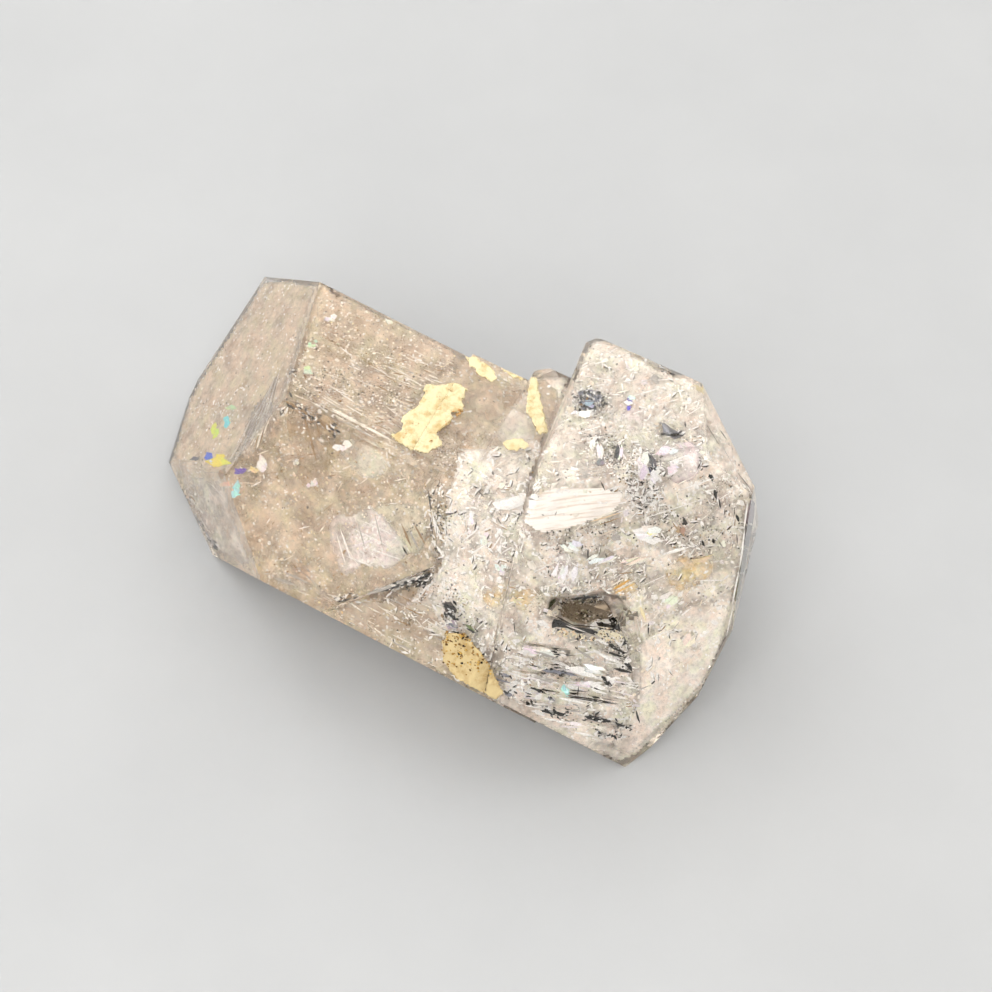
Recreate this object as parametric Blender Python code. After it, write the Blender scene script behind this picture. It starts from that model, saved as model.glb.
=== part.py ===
"""Skeletal quartz crystal: two overlapping individuals grown on one c-axis.

Metres, +Z up, the c-axis along X. The crystal lies on a prism face, and the origin is the
middle of its bounding box at the level of that face.

A growth individual is the space inside a set of planes, as a real crystal is. Each plane is
given by the two angles a goniometer reads and by its distance from the crystal's centre:
rho is counted from +X (the c-axis), phi goes round the axis from +Z towards the front (-Y).
Skeletal faces are then sunk in steps inside a raised rim, and the individuals are joined.
"""

import math
import random

import bmesh
import bpy
from mathutils import Matrix, Vector

MM = 0.001

NODE = "quartz_crystal"
QUARTZ_COLOUR = (0.80, 0.72, 0.62, 1.0)
QUARTZ_ROUGHNESS = 0.08
QUARTZ_IOR = 1.544

# Angles of quartz faces from the c-axis, in degrees
PRISM = 90.0
RHOMB = 51.8
LEFT_RHOMB = 180.0 - RHOMB

# Half the edge of the stock that the planes are cut from
STOCK = 40.0 * MM

# Distance from the centre down to the face that the crystal rests on
BASE = 8.32 * MM

# Every face below is (rho, phi, distance in mm)
TOP_OF_LEFT = (PRISM, 0.0, 8.32)
FRONT_OF_LEFT = (PRISM, 60.0, 7.75)
BACK_OF_LEFT = (88.8, -61.6, 7.89)
LOW_BACK_OF_LEFT = (PRISM, -120.0, 9.05)
LEFT_FACES = [
    TOP_OF_LEFT,
    FRONT_OF_LEFT,
    (PRISM, 120.0, 8.60),
    (PRISM, 180.0, 9.00),
    LOW_BACK_OF_LEFT,
    BACK_OF_LEFT,
    (142.0, 30.1, 11.55),
    (121.7, 88.2, 10.96),
    (123.8, 117.5, 14.19),
    (150.2, 132.1, 19.10),
    (166.9, 166.8, 21.53),
    (152.7, -71.7, 21.22),
    (132.5, -43.8, 17.40),
    (LEFT_RHOMB, 240.0, 18.60),
    (RHOMB, 60.0, 11.20),
    (0.0, 0.0, 10.00),
]

# The middle ledges that step up from the left individual to the right one
LEDGE_FRONT = (PRISM, 60.0, 7.00)
LEDGE_END = (0.0, 0.0, 9.00)
LEDGES = [
    [(PRISM, 0.0, 8.62), LEDGE_FRONT, (PRISM, 120.0, 8.20), (PRISM, 180.0, 9.00),
     (PRISM, 240.0, 9.50), (PRISM, 300.0, 8.29), (160.0, 20.0, 2.55), LEDGE_END],
    [(PRISM, 0.0, 9.05), LEDGE_FRONT, (PRISM, 120.0, 8.20), (PRISM, 180.0, 9.00),
     (PRISM, 240.0, 9.90), (PRISM, 300.0, 9.45), (160.0, 20.0, -0.95), (133.6, -90.0, 1.28),
     LEDGE_END],
]

TOP_OF_RIGHT = (PRISM, 0.0, 10.93)
BACK_OF_RIGHT = (91.3, -60.0, 11.97)
LOW_BACK_OF_RIGHT = (PRISM, -120.0, 10.70)
FRONT_RHOMB = (RHOMB, 60.0, 11.50)
FAR_END = (28.0, -130.8, 17.17)
RIGHT_FACES = [
    TOP_OF_RIGHT,
    (PRISM, 60.0, 7.87),
    (PRISM, 120.0, 8.47),
    (PRISM, 180.0, 9.00),
    LOW_BACK_OF_RIGHT,
    BACK_OF_RIGHT,
    FRONT_RHOMB,
    (33.3, 79.0, 15.17),
    (16.9, -86.6, 18.53),
    (54.0, -28.0, 18.18),
    (55.1, -72.4, 16.04),
    FAR_END,
    (34.4, -165.3, 17.50),
    (35.6, -161.4, 17.13),
    (44.7, -178.7, 17.13),
    (165.5, 78.2, -6.60),
    (170.7, 37.9, -4.83),
    (142.5, -46.9, 3.17),
    (99.1, -62.1, 10.72),
]

# The window is a sunk part of the left individual's front face. Its floor tilts a little, and
# two walls close it on the right and below.
WINDOW_FLOOR = (91.5, 60.0, 7.42)
WINDOW_WALLS = [(15.2, -40.6, 3.79), (52.0, 110.6, 6.13)]

# Skeletal steps: (face, rim, steps, depth of a step, width of a step), sizes in mm
LEFT_STEPS = [
    (BACK_OF_LEFT, 1.1, 3, 0.30, 0.75),
    (LOW_BACK_OF_LEFT, 1.2, 3, 0.32, 0.80),
]
RIGHT_STEPS = [
    (BACK_OF_RIGHT, 0.8, 3, 0.30, 0.55),
    (LOW_BACK_OF_RIGHT, 1.3, 3, 0.34, 0.85),
    (FAR_END, 0.9, 3, 0.25, 0.60),
]
STEP_DRAFT = 0.12
SHORTEST_SIDE = 2.0
RIM_SPREAD = (0.8, 1.5)
WIDTH_SPREAD = (0.5, 1.6)
LEFT_SEED = 11
RIGHT_SEED = 5

# How far a cutter stands out of its face, and a plate reaches into it, in mm
CLEAR = 0.30

# Pits: (face, corners along and across the face, depth, how far the walls lean in), in mm
CAVITY = [(4.5, 1.2), (5.8, 1.5), (7.4, 2.1), (8.7, 1.8), (9.3, 1.1), (8.5, -0.1), (6.1, -0.3),
          (4.6, 0.3)]
CAVITY_TAIL = [(8.9, 0.9), (9.7, 0.9), (10.3, -0.5), (9.9, -0.8), (9.0, -0.2)]
TRIANGLE = [(12.0, 4.5), (13.9, 4.0), (12.5, 3.0)]
PITS = [
    (FRONT_RHOMB, CAVITY, 1.50, 0.45),
    (FRONT_RHOMB, CAVITY_TAIL, 0.70, 0.15),
    (TOP_OF_RIGHT, TRIANGLE, 0.35, 0.20),
]

# The round pit: its middle on the top face, radius, depth, lean and number of sides
ROUND_MIDDLE = (8.25, 3.10)
ROUND_RADIUS = 0.85
ROUND_DEPTH = 0.40
ROUND_LEAN = 0.30
ROUND_SIDES = 10

# Growth grooves below the cavity, one row under another: (start along, across, length)
GROOVES = [(3.6, -1.9, 3.0), (4.4, -2.8, 5.4), (3.4, -3.7, 4.6), (5.6, -4.6, 5.6), (4.6, -5.5, 3.6),
           (7.2, -6.3, 3.6)]
GROOVE_WIDTH = 0.34
GROOVE_DEPTH = 0.32

# Growth plates that stand a little above their faces: (face, corners, height)
PLATES = [
    (TOP_OF_LEFT, [(-8.7, 1.3), (-4.6, 1.0), (-3.2, 2.3), (-4.4, 3.8), (-9.6, 3.8)], 0.16),
    (TOP_OF_LEFT, [(-6.4, -3.0), (-2.6, -3.1), (-1.8, -1.9), (-3.0, -0.9), (-5.8, -1.2)], 0.14),
]
PLATE_BEVEL = 0.12


def clear_scene():
    for obj in list(bpy.data.objects):
        bpy.data.objects.remove(obj, do_unlink=True)


def plane_normal(rho, phi):
    rho = math.radians(rho)
    phi = math.radians(phi)
    return Vector((math.cos(rho), -math.sin(rho) * math.sin(phi), math.sin(rho) * math.cos(phi)))


def face_frame(face):
    """A face's own axes: along (the c-axis laid into it), across, and out of it."""
    rho, phi, distance = face
    out = plane_normal(rho, phi)
    along = Vector((1, 0, 0)) - out * out.x
    along.normalize()
    across = out.cross(along)
    frame = Matrix((along, across, out)).transposed().to_4x4()
    frame.translation = out * distance * MM
    return frame


def new_object(name, bm):
    bmesh.ops.recalc_face_normals(bm, faces=bm.faces)
    mesh = bpy.data.meshes.new(name)
    bm.to_mesh(mesh)
    bm.free()
    obj = bpy.data.objects.new(name, mesh)
    bpy.context.collection.objects.link(obj)
    return obj


def cut(bm, normal, distance):
    """Removes what lies beyond a plane and closes the cut."""
    geom = bm.verts[:] + bm.edges[:] + bm.faces[:]
    result = bmesh.ops.bisect_plane(
        bm, geom=geom, dist=1e-7, plane_co=normal * distance, plane_no=normal, clear_outer=True
    )
    rim = [e for e in result["geom_cut"] if isinstance(e, bmesh.types.BMEdge)]
    bmesh.ops.contextual_create(bm, geom=rim)


def convex(name, faces):
    """The space inside all the faces."""
    bm = bmesh.new()
    bmesh.ops.create_cube(bm, size=2 * STOCK)
    for rho, phi, distance in faces:
        cut(bm, plane_normal(rho, phi), distance * MM)
    return new_object(name, bm)


def join(target, tool, operation):
    """Applies a Boolean and removes the tool."""
    modifier = target.modifiers.new(operation, "BOOLEAN")
    modifier.operation = operation
    modifier.solver = "EXACT"
    modifier.object = tool
    depsgraph = bpy.context.evaluated_depsgraph_get()
    mesh = bpy.data.meshes.new_from_object(target.evaluated_get(depsgraph))
    target.modifiers.clear()
    target.data = mesh
    bpy.data.objects.remove(tool, do_unlink=True)


def inset(points, offsets):
    """A convex outline with each side moved inwards by its own offset."""
    count = len(points)
    lines = []
    for i in range(count):
        start = points[i]
        side = (points[(i + 1) % count] - start).normalized()
        inward = Vector((-side.y, side.x))
        lines.append((start + inward * offsets[i], side))
    corners = []
    for i in range(count):
        (p, d), (q, e) = lines[i - 1], lines[i]
        t = (q - p).cross(e) / d.cross(e)
        corners.append(p + d * t)
    return corners


def anticlockwise(points):
    area = sum(a.cross(b) for a, b in zip(points, points[1:] + points[:1]))
    return points if area > 0 else points[::-1]


def prism_stack(name, face, levels):
    """A closed stack of outlines, (outline, height above the face), from the top down."""
    frame = face_frame(face)
    bm = bmesh.new()
    loops = []
    for outline, height in levels:
        loops.append([bm.verts.new(frame @ Vector((p.x, p.y, height))) for p in outline])
    for upper, lower in zip(loops, loops[1:]):
        for i, vert in enumerate(upper):
            j = (i + 1) % len(upper)
            bm.faces.new((vert, upper[j], lower[j], lower[i]))
    bm.faces.new(loops[0])
    bm.faces.new(reversed(loops[-1]))
    return new_object(name, bm)


def face_outline(obj, face):
    """The corners of an individual's face in that face's own axes, anticlockwise."""
    frame = face_frame(face)
    out = frame.col[2].to_3d()
    polygon = max(obj.data.polygons, key=lambda p: p.normal.dot(out))
    back = frame.inverted()
    return anticlockwise([(back @ obj.data.vertices[i].co).to_2d() for i in polygon.vertices])


def tidy_outline(points, shortest):
    """Leaves out the corners that lie too close together to be inset."""
    kept = []
    for point in points:
        if not kept or (point - kept[-1]).length > shortest:
            kept.append(point)
    if (kept[0] - kept[-1]).length <= shortest:
        kept.pop()
    return kept


def skeletal_steps(obj, face, rim, steps, depth, width, rng):
    """Sinks a face in steps that repeat its outline inside a raised rim."""
    outline = tidy_outline(face_outline(obj, face), SHORTEST_SIDE * MM)
    outline = inset(outline, [rim * MM * rng.uniform(*RIM_SPREAD) for _ in outline])
    draft = STEP_DRAFT * depth * MM
    levels = [(outline, CLEAR * MM)]
    for step in range(steps):
        floor = -(step + 1) * depth * MM
        foot = inset(outline, [draft] * len(outline))
        levels.append((foot, floor))
        if step < steps - 1:
            outline = inset(foot, [width * MM * rng.uniform(*WIDTH_SPREAD) for _ in foot])
            levels.append((outline, floor))
    join(obj, prism_stack("steps", face, levels), "DIFFERENCE")


def pit(obj, face, corners, depth, lean):
    """A pit with walls that lean in, from its corners on the face."""
    mouth = anticlockwise([Vector(c) * MM for c in corners])
    floor = inset(mouth, [lean * MM] * len(mouth))
    flare = inset(mouth, [-lean * MM * CLEAR / depth] * len(mouth))
    levels = [(flare, CLEAR * MM), (floor, -depth * MM)]
    join(obj, prism_stack("pit", face, levels), "DIFFERENCE")


def plate(obj, face, corners, height):
    """A thin growth plate on a face, with its edges leaning in."""
    foot = anticlockwise([Vector(c) * MM for c in corners])
    crown = inset(foot, [PLATE_BEVEL * MM] * len(foot))
    join(obj, prism_stack("plate", face, [(crown, height * MM), (foot, -CLEAR * MM)]), "UNION")


def groove(obj, face, start, across, length):
    """A narrow growth groove along a face, pointed at both ends."""
    half = GROOVE_WIDTH / 2
    end = start + length
    corners = [(start, across), (start + 2 * half, across - half), (end - 2 * half, across - half),
               (end, across), (end - 2 * half, across + half), (start + 2 * half, across + half)]
    pit(obj, face, corners, GROOVE_DEPTH, half / 2)


def left_individual():
    rng = random.Random(LEFT_SEED)
    obj = convex("left", LEFT_FACES)
    for face, rim, steps, depth, width in LEFT_STEPS:
        skeletal_steps(obj, face, rim, steps, depth, width, rng)
    rho, phi, distance = WINDOW_FLOOR
    window = [(180.0 - rho, phi + 180.0, -distance)] + WINDOW_WALLS
    join(obj, convex("window", window), "DIFFERENCE")
    return obj


def round_corners():
    x, y = ROUND_MIDDLE
    angles = [2 * math.pi * i / ROUND_SIDES for i in range(ROUND_SIDES)]
    return [(x + ROUND_RADIUS * math.cos(a), y + ROUND_RADIUS * math.sin(a)) for a in angles]


def right_individual():
    rng = random.Random(RIGHT_SEED)
    obj = convex("right", RIGHT_FACES)
    for face, rim, steps, depth, width in RIGHT_STEPS:
        skeletal_steps(obj, face, rim, steps, depth, width, rng)
    for face, corners, depth, lean in PITS:
        pit(obj, face, corners, depth, lean)
    pit(obj, TOP_OF_RIGHT, round_corners(), ROUND_DEPTH, ROUND_LEAN)
    for start, across, length in GROOVES:
        groove(obj, FRONT_RHOMB, start, across, length)
    return obj


def rest_on_base(obj):
    """Cuts the flat base and sets the origin at the middle of the bounding box, on the base."""
    bm = bmesh.new()
    bm.from_mesh(obj.data)
    cut(bm, Vector((0, 0, -1)), BASE)
    low = Vector([min(v.co[i] for v in bm.verts) for i in range(3)])
    high = Vector([max(v.co[i] for v in bm.verts) for i in range(3)])
    middle = (low + high) / 2
    bmesh.ops.translate(bm, verts=bm.verts, vec=(-middle.x, -middle.y, -low.z))
    bm.to_mesh(obj.data)
    bm.free()


def quartz_material():
    material = bpy.data.materials.new("quartz")
    material.use_nodes = True
    shader = material.node_tree.nodes["Principled BSDF"]
    shader.inputs["Base Color"].default_value = QUARTZ_COLOUR
    shader.inputs["Roughness"].default_value = QUARTZ_ROUGHNESS
    shader.inputs["Metallic"].default_value = 0.0
    shader.inputs["IOR"].default_value = QUARTZ_IOR
    shader.inputs["Transmission Weight"].default_value = 1.0
    return material


def main():
    clear_scene()
    crystal = left_individual()
    for number, faces in enumerate(LEDGES):
        join(crystal, convex(f"ledge_{number}", faces), "UNION")
    join(crystal, right_individual(), "UNION")
    for face, corners, height in PLATES:
        plate(crystal, face, corners, height)
    rest_on_base(crystal)
    crystal.name = NODE
    crystal.data.name = NODE
    crystal.data.materials.clear()
    crystal.data.materials.append(quartz_material())


main()
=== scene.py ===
"""The looks of a skeletal quartz crystal: clear champagne quartz full of healed fractures, with
growth streaks, a dark cavity, rainbow flakes and crusts of yellow clay.

Metres, in the frame of the model. What was read off the photograph is given in its pixels. The
line of sight carries it onto the crystal or, bent as quartz bends it, to a guessed depth inside.
The broad cloudy sheets take the straight line.
"""

import math
import random

import bmesh
import bpy
import numpy as np
from mathutils import Matrix, Vector, geometry, noise
from mathutils.bvhtree import BVHTree


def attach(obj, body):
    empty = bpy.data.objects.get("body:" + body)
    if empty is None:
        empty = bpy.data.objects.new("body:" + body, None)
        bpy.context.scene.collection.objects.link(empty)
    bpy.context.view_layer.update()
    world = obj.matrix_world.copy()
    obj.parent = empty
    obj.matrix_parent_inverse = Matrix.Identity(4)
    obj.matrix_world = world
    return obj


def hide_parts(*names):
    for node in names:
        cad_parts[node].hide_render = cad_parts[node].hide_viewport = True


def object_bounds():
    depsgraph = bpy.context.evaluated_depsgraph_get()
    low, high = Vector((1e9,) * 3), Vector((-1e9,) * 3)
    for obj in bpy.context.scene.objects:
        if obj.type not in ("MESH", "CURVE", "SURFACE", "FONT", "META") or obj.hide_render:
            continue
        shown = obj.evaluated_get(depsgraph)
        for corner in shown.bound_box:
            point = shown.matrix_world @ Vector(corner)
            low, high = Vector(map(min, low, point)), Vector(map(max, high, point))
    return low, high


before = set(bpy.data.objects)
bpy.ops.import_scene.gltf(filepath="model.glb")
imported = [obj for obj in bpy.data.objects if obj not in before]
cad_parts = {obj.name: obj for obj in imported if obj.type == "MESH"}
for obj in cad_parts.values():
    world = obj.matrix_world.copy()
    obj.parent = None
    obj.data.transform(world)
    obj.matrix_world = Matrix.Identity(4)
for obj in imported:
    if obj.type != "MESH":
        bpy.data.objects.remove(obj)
CAD_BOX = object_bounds()

MM = 0.001
NODE = "quartz_crystal"
BODY = "root"
IOR = 1.544

# The photograph: its side in pixels, and its camera's place round the crystal's centre
PHOTO_SIDE = 992
FOCAL_PIXELS = 3000.0
CENTRE = Vector((0.95, -1.88, 8.32)) * MM
AZIMUTH = math.radians(32.1)
ELEVATION = math.radians(52.0)
DISTANCE = 174.0 * MM
AIM_RIGHT = 3.47 * MM
AIM_UP = 0.47 * MM
SENSOR = 36.0

# Tones of what is inside the crystal, as linear colours
WHITE = (0.97, 0.94, 0.91)
CREAM = (0.86, 0.77, 0.64)
SAND = (0.66, 0.53, 0.39)
GREY = (0.27, 0.25, 0.23)
SLATE = (0.12, 0.125, 0.155)
DARK = (0.009, 0.008, 0.007)
BROWN = (0.17, 0.1, 0.045)
RUST = (0.66, 0.32, 0.08)
LILAC = (0.8, 0.7, 0.76)
SAGE = (0.66, 0.68, 0.52)
OLIVE = (0.07, 0.09, 0.03)
OCHRE = (0.74, 0.58, 0.28)


# Outlines in the photograph's pixels
RIGHT_BODY = [(582, 352), (606, 348), (698, 388), (742, 480), (744, 545), (732, 600), (700, 655),
              (655, 700), (625, 735), (540, 700), (495, 640), (470, 560), (466, 490), (560, 430)]
RIGHT_TOP = [(584, 358), (606, 350), (696, 390), (708, 440), (700, 455), (545, 476), (560, 430)]
MIDDLE = [(455, 455), (540, 440), (545, 478), (520, 560), (500, 640), (470, 660), (400, 610),
          (445, 560), (448, 520)]
TOP_BAND = [(290, 392), (318, 300), (345, 300), (462, 358), (420, 400), (400, 445), (430, 468)]
TOP_STREAKS = [(292, 396), (312, 366), (352, 350), (420, 352), (460, 362), *TOP_BAND[4:]]
WINDOW = [(290, 405), (436, 482), (442, 520), (434, 560), (350, 600), (228, 560), (226, 478)]
END_FACE = [(172, 462), (186, 408), (210, 350), (258, 282), (266, 280), (320, 284), (285, 398),
            (226, 476)]
LOW_END = [(176, 468), (224, 480), (256, 572), (214, 550), (192, 508)]
STREAK_AREA = [(500, 655), (548, 642), (622, 652), (636, 690), (640, 728), (610, 745), (540, 716),
               (502, 692)]
LEFT_SIDE = [(171, 462), (186, 405), (226, 330), (262, 282), (320, 286), (462, 352), (530, 374),
             (562, 380), (560, 470), (480, 560), (480, 640), (500, 700), (440, 672), (300, 600),
             (214, 552), (190, 508)]
RIGHT_SIDE = [(545, 376), (578, 372), (584, 350), (606, 344), (704, 386), (752, 488), (742, 560),
              (722, 652), (625, 762), (560, 732), (494, 698), (456, 560), (458, 470)]
LOW_RIGHT = [(638, 640), (690, 600), (728, 600), (715, 668), (668, 716), (632, 752), (606, 742),
             (636, 700)]
RIGHT_EDGE = [(640, 600), (690, 560), (735, 520), (738, 590), (700, 650), (645, 690)]
FRONT_BAR = [(300, 592), (430, 600), (480, 660), (500, 690), (455, 678)]


def photo_axes():
    """The camera's right, up and back directions."""
    ca, sa = math.cos(AZIMUTH), math.sin(AZIMUTH)
    ce, se = math.cos(ELEVATION), math.sin(ELEVATION)
    right = Vector((ca, sa, 0.0))
    up = Vector((-sa * se, ca * se, ce))
    back = Vector((sa * ce, -ca * ce, se))
    return right, up, back


RIGHT, UP, BACK = photo_axes()
EYE = CENTRE + RIGHT * AIM_RIGHT + UP * AIM_UP + BACK * DISTANCE
PIXEL = DISTANCE / FOCAL_PIXELS

# Inside, a line of sight starts just under the face and goes at most this share of the way through
SIGHT_START = 0.02 * MM
SIGHT_SHARE = 0.7


class Sight:
    """Lines of sight from the photograph's camera onto and into the crystal."""

    def __init__(self, bm):
        self.tree = BVHTree.FromBMesh(bm)

    def ray(self, px, py):
        half = PHOTO_SIDE / 2
        side = RIGHT * ((px - half) / FOCAL_PIXELS)
        rise = UP * ((half - py) / FOCAL_PIXELS)
        return (side + rise - BACK).normalized()

    def surface(self, px, py):
        """Where a pixel meets the crystal: point and outward normal, or None."""
        point, normal, _, _ = self.tree.ray_cast(EYE, self.ray(px, py))
        return (point, normal) if point else None

    def under(self, px, py, depth):
        """The point at a depth along the refracted line of sight, and its face's normal, or None."""
        hit = self.surface(px, py)
        if hit is None:
            return None
        point, normal = hit
        line = self.ray(px, py)
        facing = -normal.dot(line)
        ratio = 1.0 / IOR
        bend = ratio * facing - math.sqrt(1.0 - ratio * ratio * (1.0 - facing * facing))
        line = (line * ratio + normal * bend).normalized()
        back = self.tree.ray_cast(point + line * SIGHT_START, line)
        room = back[3] if back[0] else depth
        return point + line * min(depth, SIGHT_SHARE * room), normal

    def straight(self, px, py, depth):
        """The point at a depth straight along the line of sight, or None."""
        hit = self.surface(px, py)
        return hit[0] + self.ray(px, py) * depth if hit else None

    def room_at(self, point):
        """Distance from a point to the nearest face, negative outside."""
        nearest, normal, _, distance = self.tree.find_nearest(point)
        return distance if (point - nearest).dot(normal) < 0 else -distance


WELD = 0.002 * MM
FLAT = math.radians(0.4)


def clean_crystal():
    """The crystal's own solid with its triangles joined back into flat faces."""
    bm = bmesh.new()
    bm.from_mesh(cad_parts[NODE].data)
    bmesh.ops.remove_doubles(bm, verts=bm.verts, dist=WELD)
    bmesh.ops.dissolve_limit(bm, angle_limit=FLAT, verts=bm.verts, edges=bm.edges)
    bmesh.ops.recalc_face_normals(bm, faces=bm.faces)
    return bm


def mesh_of(bm, name):
    """A mesh made from a bmesh, which is freed."""
    mesh = bpy.data.meshes.new(name)
    bm.to_mesh(mesh)
    bm.free()
    return mesh


def fill(tree, node, inputs):
    """Links what comes from other nodes to a node's inputs, and sets all else on them directly."""
    for key, value in inputs.items():
        socket = node.inputs[key]
        if isinstance(value, bpy.types.NodeSocket):
            tree.links.new(value, socket)
        else:
            socket.default_value = (*value, 1.0) if socket.type == "RGBA" else value


def add(tree, kind, inputs=None, **settings):
    """Adds a shader node, sets its options, and fills its inputs."""
    node = tree.nodes.new(kind)
    for key, value in settings.items():
        setattr(node, key, value)
    fill(tree, node, inputs or {})
    return node


def ramp(tree, factor, stops):
    """A colour ramp: stops are (place, colour) pairs."""
    node = add(tree, "ShaderNodeValToRGB", {"Fac": factor})
    elements = node.color_ramp.elements
    while len(elements) < len(stops):
        elements.new(0.5)
    for element, (place, colour) in zip(elements, stops):
        element.position = place
        element.color = (*colour, 1.0)
    return node.outputs["Color"]


def grey_ramp(tree, factor, stops):
    return ramp(tree, factor, [(place, (value, value, value)) for place, value in stops])


def new_material(name):
    material = bpy.data.materials.new(name)
    material.use_nodes = True
    tree = material.node_tree
    return material, tree, tree.nodes["Principled BSDF"]


def place_of(tree, scale=(1.0, 1.0, 1.0), turn=(0.0, 0.0, 0.0)):
    """Object coordinates in millimetres, turned and stretched."""
    coordinates = add(tree, "ShaderNodeTexCoord")
    mapping = add(tree, "ShaderNodeMapping", {
        "Vector": coordinates.outputs["Object"],
        "Rotation": turn,
        "Scale": [s / MM for s in scale],
    })
    return mapping.outputs["Vector"]


def noise_of(tree, vector, scale, detail=4.0, roughness=0.6, distortion=0.0):
    node = add(tree, "ShaderNodeTexNoise", {
        "Vector": vector, "Scale": scale, "Detail": detail, "Roughness": roughness,
        "Distortion": distortion,
    })
    return node.outputs["Fac"]


# The sockets that the mix node uses for colours
MIX_FACTOR, MIX_FIRST, MIX_SECOND, MIXED = 0, 6, 7, 2


def blend_colour(tree, factor, first, second, mode="MIX"):
    inputs = {MIX_FACTOR: factor, MIX_FIRST: first, MIX_SECOND: second}
    return add(tree, "ShaderNodeMix", inputs, data_type="RGBA", blend_type=mode).outputs[MIXED]


def shaded(tree, tone, shade):
    """One colour times another."""
    return blend_colour(tree, 1.0, tone, shade, "MULTIPLY")


def maths(tree, operation, first, second):
    return add(tree, "ShaderNodeMath", {0: first, 1: second}, operation=operation).outputs[0]


def vector_maths(tree, operation, first, second):
    return add(tree, "ShaderNodeVectorMath", {0: first, 1: second}, operation=operation).outputs[0]


def attribute(tree, name, output):
    """A value that the mesh itself carries."""
    return add(tree, "ShaderNodeAttribute", attribute_name=name).outputs[output]


def cell_value(tree, place, per_mm, channel):
    """A random value for each cell of a pattern."""
    cells = add(tree, "ShaderNodeTexVoronoi", {"Vector": place, "Scale": per_mm})
    return add(tree, "ShaderNodeSeparateColor", {"Color": cells.outputs["Color"]}).outputs[channel]


# The share of the light on a dull thing in quartz that gets out again at once
ESCAPING = 0.39


def in_quartz(tone):
    """The colour that a dull surface inside quartz needs to show a tone from outside."""
    return tuple(value / (ESCAPING + (1.0 - ESCAPING) * value) for value in tone)


def quartz_material():
    """Clear quartz: brownish at the left end, paler at the right, with fine growth relief."""
    material, tree, shader = new_material("quartz")
    place = place_of(tree)
    along = add(tree, "ShaderNodeSeparateXYZ", {"Vector": place}).outputs["X"]
    drift = maths(tree, "MULTIPLY", noise_of(tree, place, 0.16, 2.0), 8.0)
    side = maths(tree, "ADD", along, drift)
    share = add(tree, "ShaderNodeMapRange", {"Value": side, "From Min": -4.0, "From Max": 12.0})
    tint = ramp(tree, share.outputs["Result"], [
        (0.0, (0.93, 0.875, 0.81)), (0.55, (0.97, 0.945, 0.915)), (1.0, (0.99, 0.98, 0.965)),
    ])
    growth = noise_of(tree, place_of(tree, (4.0, 0.5, 0.5)), 0.9, 3.0)
    ripple = noise_of(tree, place, 0.45, 3.0)
    height = maths(tree, "ADD", maths(tree, "MULTIPLY", growth, 0.12), ripple)
    bump = add(tree, "ShaderNodeBump", {"Strength": 0.35, "Distance": 0.05 * MM, "Height": height})
    fill(tree, shader, {
        "Base Color": tint, "Roughness": 0.02, "IOR": IOR, "Transmission Weight": 1.0,
        "Normal": bump.outputs["Normal"],
    })
    volume = add(tree, "ShaderNodeVolumeAbsorption", {"Color": (0.88, 0.77, 0.62), "Density": 40.0})
    fill(tree, tree.nodes["Material Output"], {"Volume": volume.outputs["Volume"]})
    return material


def bits_material():
    """Flakes and fractures: each carries its own tone, with a fine mottling and silvery gloss."""
    material, tree, shader = new_material("inclusions")
    mottle = grey_ramp(tree, noise_of(tree, place_of(tree), 9.0, 3.0), [(0.3, 0.72), (0.7, 1.0)])
    gloss = grey_ramp(tree, noise_of(tree, place_of(tree), 3.0, 2.0), [(0.3, 0.12), (0.7, 0.4)])
    fill(tree, shader, {
        "Base Color": shaded(tree, attribute(tree, "tone", "Color"), mottle), "Roughness": gloss,
        "Specular IOR Level": 0.15,
    })
    return material


def specks(tree, place, per_mm, share):
    """A mask of fine angular specks: 1 on a share of the cells of a fine pattern."""
    return maths(tree, "LESS_THAN", cell_value(tree, place, per_mm, "Red"), share)


# How far the coordinates of a sheet are pressed flat along the view
SEEN_SHARE = 0.65


def seen_place(tree, place):
    """Coordinates pressed flat along the photograph's view, so that steep sheets aren't streaky."""
    deep = add(tree, "ShaderNodeVectorMath", {0: place, 1: BACK}, operation="DOT_PRODUCT")
    share = maths(tree, "MULTIPLY", deep.outputs["Value"], SEEN_SHARE)
    part = add(tree, "ShaderNodeVectorMath", {0: BACK, "Scale": share}, operation="SCALE")
    return vector_maths(tree, "SUBTRACT", place, part.outputs[0])


VEIL_HUES = [(0.36, (1.0, 0.91, 0.87)), (0.5, (1.0, 0.97, 0.94)), (0.64, (0.95, 0.98, 0.86))]
VEIL_GRAIN = [(0.34, 0.7), (0.5, 0.93), (0.62, 1.0)]


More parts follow.
